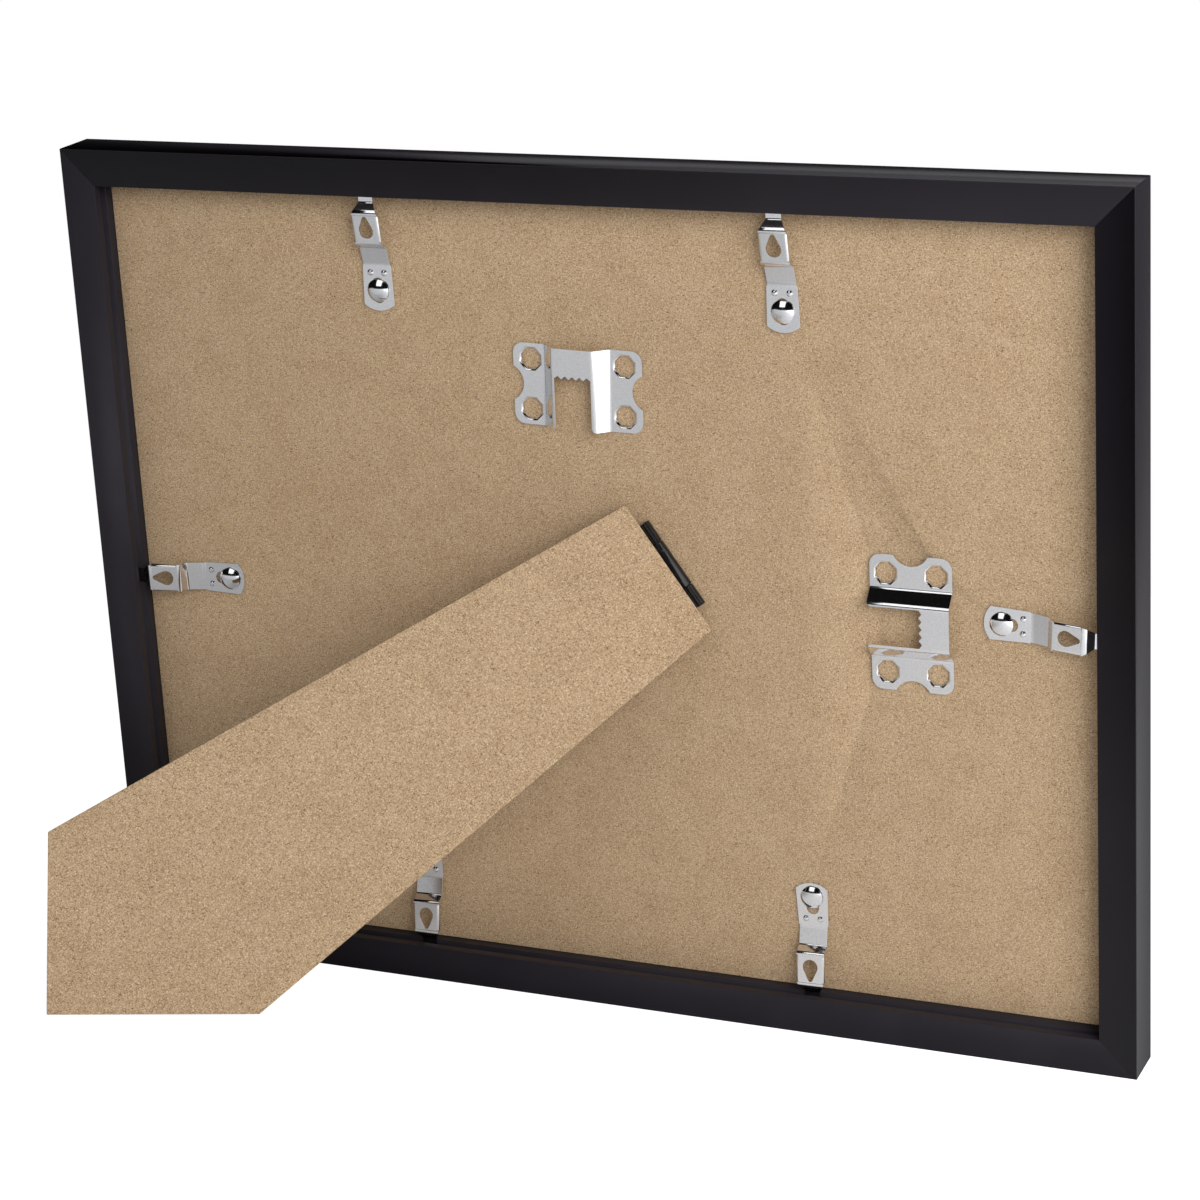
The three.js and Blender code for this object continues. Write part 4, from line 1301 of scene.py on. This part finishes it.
    def bore(self, at: Point, low: float) -> bpy.types.Object:
        """The tool for a collar's bore, flared where the sheet is drawn down round its mouth.

        Args:
            at: The middle of the bore.
            low: Height of the tool's lower end.

        Returns:
            The tool.
        """
        to_corner = 1 / math.cos(math.pi / 8)
        top = LAYERS.board_back + LAYERS.seat_gap + self.sheet
        centre = (HANGER_COLLARS.flats / 2 + self.mouth_round, top - self.mouth_round)
        flare = arc(centre, self.mouth_round, 180, self.mouth_end, 6)
        rim = (flare[-1][0], top + 1)
        profile = [(0, low), (flare[0][0], low), *flare, rim, (0, top + 1)]
        tool = Bench.turned("bore_tool", [(radius * to_corner, z) for radius, z in profile], steps=8)
        seat = Matrix.Translation((*at, 0)) @ Matrix.Rotation(math.pi / 8, 4, "Z")
        return Bench.place(tool, seat)

    def build(self, material: bpy.types.Material) -> None:
        """Copies one hanger to its two places."""
        pattern = self.hanger()
        for node, place, turn in (
            ("hanger_landscape", self.landscape_place, self.landscape_turn),
            ("hanger_portrait", self.portrait_place, self.portrait_turn),
        ):
            spot = Matrix.Translation((*place, 0)) @ Matrix.Rotation(math.radians(turn), 4, "Z")
            piece = Bench.place(Bench.twin(pattern, f"{node}_pressed"), self.view.matrix @ spot)
            finish_piece(piece, material, self.body, node)
        bpy.data.objects.remove(pattern)


@dataclass
class BackingBoard:
    """The fibreboard back with its rivet holes and collar grooves."""

    view: BackView
    joints: dict[str, dict]
    hangers: SawtoothHangers
    clips: SpringClips
    body: str = "frame"
    edge: float = 0.12
    fit: float = 0.1

    def build(self, material: bpy.types.Material) -> None:
        """Cuts the board and puts it in place."""
        half_width = LAYERS.recess_width / 2 - self.fit
        half_height = LAYERS.recess_height / 2 - self.fit
        low, high = LAYERS.board_front, LAYERS.board_back
        board = Bench.block("backing_board_cut", (-half_width, -half_height, low), (half_width, half_height, high))
        Bench.soften(board, self.edge)
        size = self.clips.rivet
        for place in self.clips.places:
            centre = self.view.bench_point(self.joints[f"clip_{place.name}_swivel"]["pos_m"])
            at = (centre.x, centre.y)
            seat = low + size.foot_recess + size.foot_thickness + 0.1
            bore = Bench.prism("bore_tool", 40, size.shank_radius + size.shank_clearance, low - 1, high + 1, at)
            Bench.combine(board, bore, "DIFFERENCE")
            well = Bench.prism("well_tool", 40, size.foot_radius + 0.2, low - 1, seat, at)
            Bench.combine(board, well, "DIFFERENCE")
        for spot, turn in (
            (self.hangers.landscape_place, self.hangers.landscape_turn),
            (self.hangers.portrait_place, self.hangers.portrait_turn),
        ):
            for at in HANGER_COLLARS.places():
                groove = HANGER_COLLARS.groove("groove_tool", at, low + COLLAR_FLOOR - 0.05, high + 1)
                turned = Matrix.Translation((*spot, 0)) @ Matrix.Rotation(math.radians(turn), 4, "Z")
                Bench.combine(board, Bench.place(groove, turned), "DIFFERENCE")
        Bench.shade(board)
        Bench.place(board, self.view.matrix)
        finish_piece(board, material, self.body, "backing_board")


@dataclass
class EaselLeg:
    """The tapered leg, the two leaves of its hinge and the pin."""

    view: BackView
    joint: dict
    pin_radius: float = 0.6
    pin_clearance: float = 0.05
    sheet: float = 0.6
    hinge_width: float = 26.6
    middle_knuckle: float = 13.8
    knuckle_gap: float = 0.14
    knuckle_edge: float = 0.12
    neck_inset: float = 0.03
    leaf_length: float = 16
    thickness: float = 2.5
    top_width: float = 40.3
    top_setback: float = 1.9
    taper: float = 5.3
    foot_clearance: float = 0.5
    edge: float = 0.22

    @property
    def barrel_radius(self) -> float:
        """Outer radius of the knuckles, as the CAD hinge has it."""
        return self.pin_radius + 0.1 + self.sheet

    @property
    def direction(self) -> float:
        """Angle in the back view of the closed leg's line, from the hinge's axis."""
        axis = self.view.bench_direction(self.joint["axis"])
        return math.atan2(-axis.x, axis.y) % (2 * math.pi)

    @property
    def centre(self) -> Vector:
        """The middle of the hinge's axis in the back view."""
        return self.view.bench_point(self.joint["pos_m"])

    @property
    def seat(self) -> Matrix:
        """The hinge's own view with the leg closed: x along the leg, y along the pin."""
        return self.view.matrix @ Matrix.Translation(self.centre) @ Matrix.Rotation(self.direction, 4, "Z")

    @property
    def opened(self) -> Matrix:
        """The hinge's own view turned with the open leg."""
        opening = math.radians(self.joint["range_deg"][1])
        return self.seat @ Matrix.Rotation(-opening, 4, "Y")

    def corners(self) -> list[Point]:
        """The leg's corners: its two foot edges run beside the recess walls when it is closed."""
        lean = math.radians(self.taper)
        half = self.top_width / 2
        top_right, top_left = Vector((self.top_setback, half)), Vector((self.top_setback, -half))
        right, left = Vector((math.cos(lean), math.sin(lean))), Vector((math.cos(lean), -math.sin(lean)))
        wall_x = self.foot_clearance - LAYERS.recess_width / 2
        wall_y = self.foot_clearance - LAYERS.recess_height / 2
        tip = self.own(wall_x, wall_y)
        bottom = self.meet(top_right, right, tip, self.own(wall_x + 1, wall_y) - tip)
        side = self.meet(top_left, left, tip, self.own(wall_x, wall_y + 1) - tip)
        return [tuple(point) for point in (top_right, top_left, side, tip, bottom)]

    def own(self, x: float, y: float) -> Vector:
        """A point of the back view in the closed leg's own view."""
        offset = Vector((x - self.centre.x, y - self.centre.y))
        offset.rotate(Matrix.Rotation(-self.direction, 2))
        return offset

    @staticmethod
    def meet(first: Vector, along: Vector, second: Vector, beside: Vector) -> Vector:
        """Where two lines cross, each given by a point and a direction."""
        gap = second - first
        share = (gap.x * beside.y - gap.y * beside.x) / (along.x * beside.y - along.y * beside.x)
        return first + along * share

    def knuckle(self, low: float, high: float) -> bpy.types.Object:
        """A knuckle between two places along the pin, without its bore."""
        outer, edge = self.barrel_radius, self.knuckle_edge
        profile = [
            (0, low),
            (outer - edge, low),
            (outer, low + edge),
            (outer, high - edge),
            (outer - edge, high),
            (0, high),
        ]
        ring = Bench.turned("knuckle_tool", profile, steps=40)
        return Bench.place(ring, Matrix.Rotation(math.radians(-90), 4, "X"))

    def leaf(self, name: str, low: float, spans: Iterable[tuple[float, float]]) -> bpy.types.Object:
        """A leaf: its flat sheet, cut back beside the other leaf's knuckles, and its own knuckles.

        Args:
            name: Name of the piece.
            low: Height of the sheet's lower face above the pin.
            spans: Where its knuckles are along the pin.

        Returns:
            The leaf in the hinge's own view.
        """
        half = self.hinge_width / 2
        clear = self.barrel_radius + self.knuckle_gap
        piece = Bench.block(name, (clear, -half, low), (self.leaf_length, half, low + self.sheet))
        for start, end in spans:
            ends = (start + self.neck_inset, end - self.neck_inset)
            neck = Bench.block("neck_tool", (0, ends[0], low), (clear + 0.5, ends[1], low + self.sheet))
            Bench.combine(piece, neck, "UNION")
        for start, end in spans:
            Bench.combine(piece, self.knuckle(start, end), "UNION")
        bore = Bench.prism("bore_tool", 40, self.pin_radius + self.pin_clearance, -half - 1, half + 1)
        Bench.place(bore, Matrix.Rotation(math.radians(-90), 4, "X"))
        Bench.combine(piece, bore, "DIFFERENCE")
        Bench.soften(piece, 0.08, segments=2, angle=50)
        return piece

    def pin(self) -> bpy.types.Object:
        """The pin, with a slightly domed head at both ends."""
        half, radius = self.hinge_width / 2, self.pin_radius
        profile = [(0, -half), (radius * 0.6, 0.06 - half), (radius, 0.22 - half)]
        profile += [(radius, half - 0.22), (radius * 0.6, half - 0.06), (0, half)]
        piece = Bench.turned("hinge_pin_turned", profile, steps=32)
        Bench.shade(piece)
        return Bench.place(piece, Matrix.Rotation(math.radians(-90), 4, "X"))

    def build(self, board: bpy.types.Material, black: bpy.types.Material) -> None:
        """Builds the leg and its hinge.

        Args:
            board: The leg's fibreboard.
            black: The hinge's coating.
        """
        inner = self.barrel_radius + LAYERS.seat_gap
        leg = Bench.outline("easel_leg_cut", self.corners(), inner, inner + self.thickness)
        Bench.soften(leg, self.edge, segments=3)
        Bench.place(leg, self.opened)
        finish_piece(leg, board, "leg", "easel_leg")
        half, knuckle = self.hinge_width / 2, self.middle_knuckle / 2
        gap = self.knuckle_gap
        outer = [(-half, -knuckle - gap), (knuckle + gap, half)]
        board_leaf = self.leaf("hinge_board_leaf_curled", -self.barrel_radius, outer)
        finish_piece(Bench.place(board_leaf, self.seat), black, "frame", "hinge_board_leaf")
        leg_leaf = self.leaf("hinge_leg_leaf_curled", self.barrel_radius - self.sheet, [(-knuckle, knuckle)])
        finish_piece(Bench.place(leg_leaf, self.opened), black, "leg", "hinge_leg_leaf")
        finish_piece(Bench.place(self.pin(), self.seat), black, "frame", "hinge_pin")


@dataclass
class Studio:
    """Camera, floor, world and lamps."""

    view: BackView
    camera_place: tuple[float, float, float] = (360.0, 289.5, 772.4)
    look: tuple[float, float, float] = (-0.396, -0.321, -0.8604)
    camera_up: tuple[float, float, float] = (-0.0835, 0.9456, -0.3144)
    lens: float = 100.8
    floor_size: float = 3
    floor_end: float = 0.85
    aim: tuple[float, float, float] = (0, 0, 0.12)
    floor_albedo: float = 0.5
    floor_glow: float = 0.75
    fill: float = 0.06
    dark_sky: float = 0.004
    # Painted light: the floor glows for every ray, brighter towards -x, in place of floor lit by the key lamp.
    painted_bounce: float = 0.2
    painted_bounce_right: float = 0.28
    painted_bounce_reach: tuple[float, float] = (0.05, -0.25)
    # Painted reflections: floor glow that only glossy rays see, so that the metal mirrors bright patches.
    painted_sheen: float = 0.15
    painted_sheen_side: tuple[float, float] = (0.08, -0.02)
    painted_sheen_far: tuple[float, float] = (0.12, 0.24)
    painted_white_sheen: float = 0.7
    painted_white_reach: tuple[float, float] = (-0.18, -0.38)
    painted_white_back: tuple[float, float] = (-0.05, 0.1)

    def camera(self) -> None:
        """Places the camera at the photograph's viewing angle."""
        data = bpy.data.cameras.new("camera")
        data.lens = self.lens
        data.sensor_width = 36
        data.clip_start, data.clip_end = 0.01, 100
        camera = bpy.data.objects.new("camera", data)
        bpy.context.scene.collection.objects.link(camera)
        turn = self.view.turn.to_3x3()
        back = -(turn @ Vector(self.look)).normalized()
        right = (turn @ Vector(self.camera_up)).cross(back).normalized()
        up = back.cross(right)
        place = self.view.matrix @ Vector(self.camera_place)
        camera.matrix_world = Matrix.Translation(place) @ Matrix((right, up, back)).transposed().to_4x4()
        bpy.context.scene.camera = camera

    @staticmethod
    def maths(
        tree: bpy.types.NodeTree, how: str, first: bpy.types.NodeSocket, second: bpy.types.NodeSocket | float
    ) -> bpy.types.NodeSocket:
        """Puts two values together with a maths step."""
        node = tree.nodes.new("ShaderNodeMath")
        node.operation = how
        tree.links.new(first, node.inputs[0])
        if isinstance(second, bpy.types.NodeSocket):
            tree.links.new(second, node.inputs[1])
        else:
            node.inputs[1].default_value = second
        return node.outputs[0]

    @staticmethod
    def ramp(
        tree: bpy.types.NodeTree, value: bpy.types.NodeSocket, low: float, high: float, start: float, end: float
    ) -> bpy.types.NodeSocket:
        """Turns a stretch of a value smoothly into another stretch."""
        node = tree.nodes.new("ShaderNodeMapRange")
        node.interpolation_type = "SMOOTHSTEP"
        for name, number in (("From Min", low), ("From Max", high), ("To Min", start), ("To Max", end)):
            node.inputs[name].default_value = number
        tree.links.new(value, node.inputs["Value"])
        return node.outputs["Result"]

    def seen(self, tree: bpy.types.NodeTree) -> bpy.types.NodeSocket:
        """1 for the rays that see the background from the camera or through glass."""
        path = tree.nodes.new("ShaderNodeLightPath")
        return self.maths(tree, "MAXIMUM", path.outputs["Is Camera Ray"], path.outputs["Is Transmission Ray"])

    def floor(self) -> None:
        """Lays a plain pale floor that keeps the object's shadow; its glow is painted light: brighter towards -x for
        every ray in place of floor lit by the key lamp, plus patches that only glossy rays see as painted reflections.
        """
        Bench.clear()
        middle = (0, self.floor_end - self.floor_size / 2, 0)
        bpy.ops.mesh.primitive_plane_add(size=self.floor_size, location=middle)
        floor = Bench.named("floor")
        material = bpy.data.materials.new("floor")
        material.use_nodes = True
        tree = material.node_tree
        shader = tree.nodes["Principled BSDF"]
        shader.inputs["Base Color"].default_value = (*[self.floor_albedo] * 3, 1)
        shader.inputs["Roughness"].default_value = 0.9
        shader.inputs["Specular IOR Level"].default_value = 0
        shader.inputs["Emission Color"].default_value = (1, 1, 1, 1)
        place = tree.nodes.new("ShaderNodeTexCoord")
        parts = tree.nodes.new("ShaderNodeSeparateXYZ")
        tree.links.new(place.outputs["Object"], parts.inputs[0])
        # Painted light: floor glow for every ray that rises towards -x, standing in for the key lamp's light on the
        # floor.
        side = self.ramp(
            tree, parts.outputs["X"], *self.painted_bounce_reach, self.painted_bounce, self.painted_bounce + self.painted_bounce_right
        )
        # Painted reflections: glow that only glossy rays see, brighter near the frame, further back, and towards -x
        # where it turns white.
        near = self.ramp(tree, parts.outputs["X"], *self.painted_sheen_side, 0, self.painted_sheen)
        far = self.ramp(tree, parts.outputs["Y"], *self.painted_sheen_far, 0, self.painted_sheen)
        white = self.ramp(tree, parts.outputs["X"], *self.painted_white_reach, 0, self.painted_white_sheen)
        back = self.ramp(tree, parts.outputs["Y"], *self.painted_white_back, 0, 1)
        white = self.maths(tree, "MULTIPLY", white, back)
        painted_sheen = self.maths(tree, "ADD", self.maths(tree, "MAXIMUM", near, far), white)
        path = tree.nodes.new("ShaderNodeLightPath")
        painted_sheen = self.maths(tree, "MULTIPLY", painted_sheen, path.outputs["Is Glossy Ray"])
        glow = self.maths(tree, "MULTIPLY", self.seen(tree), self.floor_glow)
        glow = self.maths(tree, "ADD", glow, painted_sheen)
        tree.links.new(self.maths(tree, "ADD", glow, side), shader.inputs["Emission Strength"])
        floor.data.materials.append(material)

    def world(self) -> None:
        """Gives the room a white background, an even fill, and a dark upper part in reflections."""
        world = bpy.data.worlds.new("studio")
        bpy.context.scene.world = world
        world.use_nodes = True
        tree = world.node_tree
        fill = tree.nodes["Background"]
        fill.inputs["Color"].default_value = (1, 1, 1, 1)
        fill.inputs["Strength"].default_value = self.fill
        gloss = tree.nodes.new("ShaderNodeBackground")
        gloss.inputs["Color"].default_value = (1, 1, 1, 1)
        gloss.inputs["Strength"].default_value = self.dark_sky
        white = tree.nodes.new("ShaderNodeBackground")
        white.inputs["Color"].default_value = (1, 1, 1, 1)
        path = tree.nodes.new("ShaderNodeLightPath")
        reflected = tree.nodes.new("ShaderNodeMixShader")
        tree.links.new(path.outputs["Is Glossy Ray"], reflected.inputs[0])
        tree.links.new(fill.outputs[0], reflected.inputs[1])
        tree.links.new(gloss.outputs[0], reflected.inputs[2])
        mix = tree.nodes.new("ShaderNodeMixShader")
        tree.links.new(self.seen(tree), mix.inputs[0])
        tree.links.new(reflected.outputs[0], mix.inputs[1])
        tree.links.new(white.outputs[0], mix.inputs[2])
        tree.links.new(mix.outputs[0], tree.nodes["World Output"].inputs["Surface"])

    def lamp(self, name: str, place: Sequence[float], size: float, power: float, mirrored: bool = True) -> None:
        """Adds a soft square lamp that points at the frame.

        Args:
            name: Name of the lamp.
            place: Where it hangs, in metres.
            size: Length of its sides, in metres.
            power: Its power in watts.
            mirrored: Whether bright metal mirrors it.
        """
        data = bpy.data.lights.new(name, "AREA")
        data.shape = "SQUARE"
        data.size = size
        data.energy = power
        lamp = bpy.data.objects.new(name, data)
        bpy.context.scene.collection.objects.link(lamp)
        lamp.visible_glossy = mirrored
        direction = Vector(self.aim) - Vector(place)
        turn = direction.to_track_quat("-Z", "Y").to_matrix().to_4x4()
        lamp.matrix_world = Matrix.Translation(Vector(place)) @ turn

    def build(self) -> None:
        """Sets up the studio."""
        self.camera()
        self.floor()
        self.world()
        self.lamp("key", (-1.0, 0.95, 0.45), 0.8, 10.4, mirrored=False)
        self.lamp("soft", (-0.75, 1.25, 0.35), 0.6, 5.2, mirrored=False)
        self.lamp("rim", (-1.2, 0.6, 0.45), 0.5, 1.2)
        self.lamp("window", (0.3, 1.5, 0.78), 1.0, 3.8)
        self.lamp("front", (-0.6, -1.6, 1.2), 1.4, 10)
        bpy.context.scene.view_settings.view_transform = "Standard"


def dress_carried_nodes(view: BackView) -> None:
    """Gives the CAD nodes that stay shown their finishes.

    Args:
        view: The back view.
    """
    nodes = frame["nodes"]
    nail = NailFinish().material()
    for corner in ("top_left", "top_right", "bottom_left", "bottom_right"):
        dress(nodes[f"corner_nail_{corner}"], nail)
    dress(nodes["insert_sheet"], PaperFinish().material(view))
    dress(nodes["glazing"], GlazingFinish().material())


def main() -> None:
    """Builds the studio, then every piece in order."""
    logging.basicConfig(level=logging.INFO, format="%(message)s")
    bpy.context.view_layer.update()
    view = BackView.from_record(frame["record"])
    joints = {joint["name"]: joint for joint in frame["joints"]}
    Studio(view).build()
    lean = math.atan2(view.up.y, view.up.z)
    board = FibreboardFinish().material((lean, 0, 0))
    easel = EaselLeg(view, joints["leg_hinge"])
    leg_turn = easel.opened.to_3x3().inverted().to_euler()
    # The leg's fibreboard is a slightly darker copy of the board's: painted shade that evens out the extra light the
    # leg catches.
    leg_board_painted_shade = FibreboardFinish(
        name="fibreboard_leg", ground=srgb(187, 160, 128), cloud=srgb(180, 153, 121)
    ).material(tuple(leg_turn))
    plated = PlatedFinish().material()
    clips = SpringClips(view, joints)
    hangers = SawtoothHangers(view)
    Moulding(view).build(MouldingFinish().material())
    BackingBoard(view, joints, hangers, clips).build(board)
    hangers.build(plated)
    clips.build(plated)
    easel.build(leg_board_painted_shade, BlackMetalFinish().material())
    dress_carried_nodes(view)


if __name__ == "__main__":
    main()
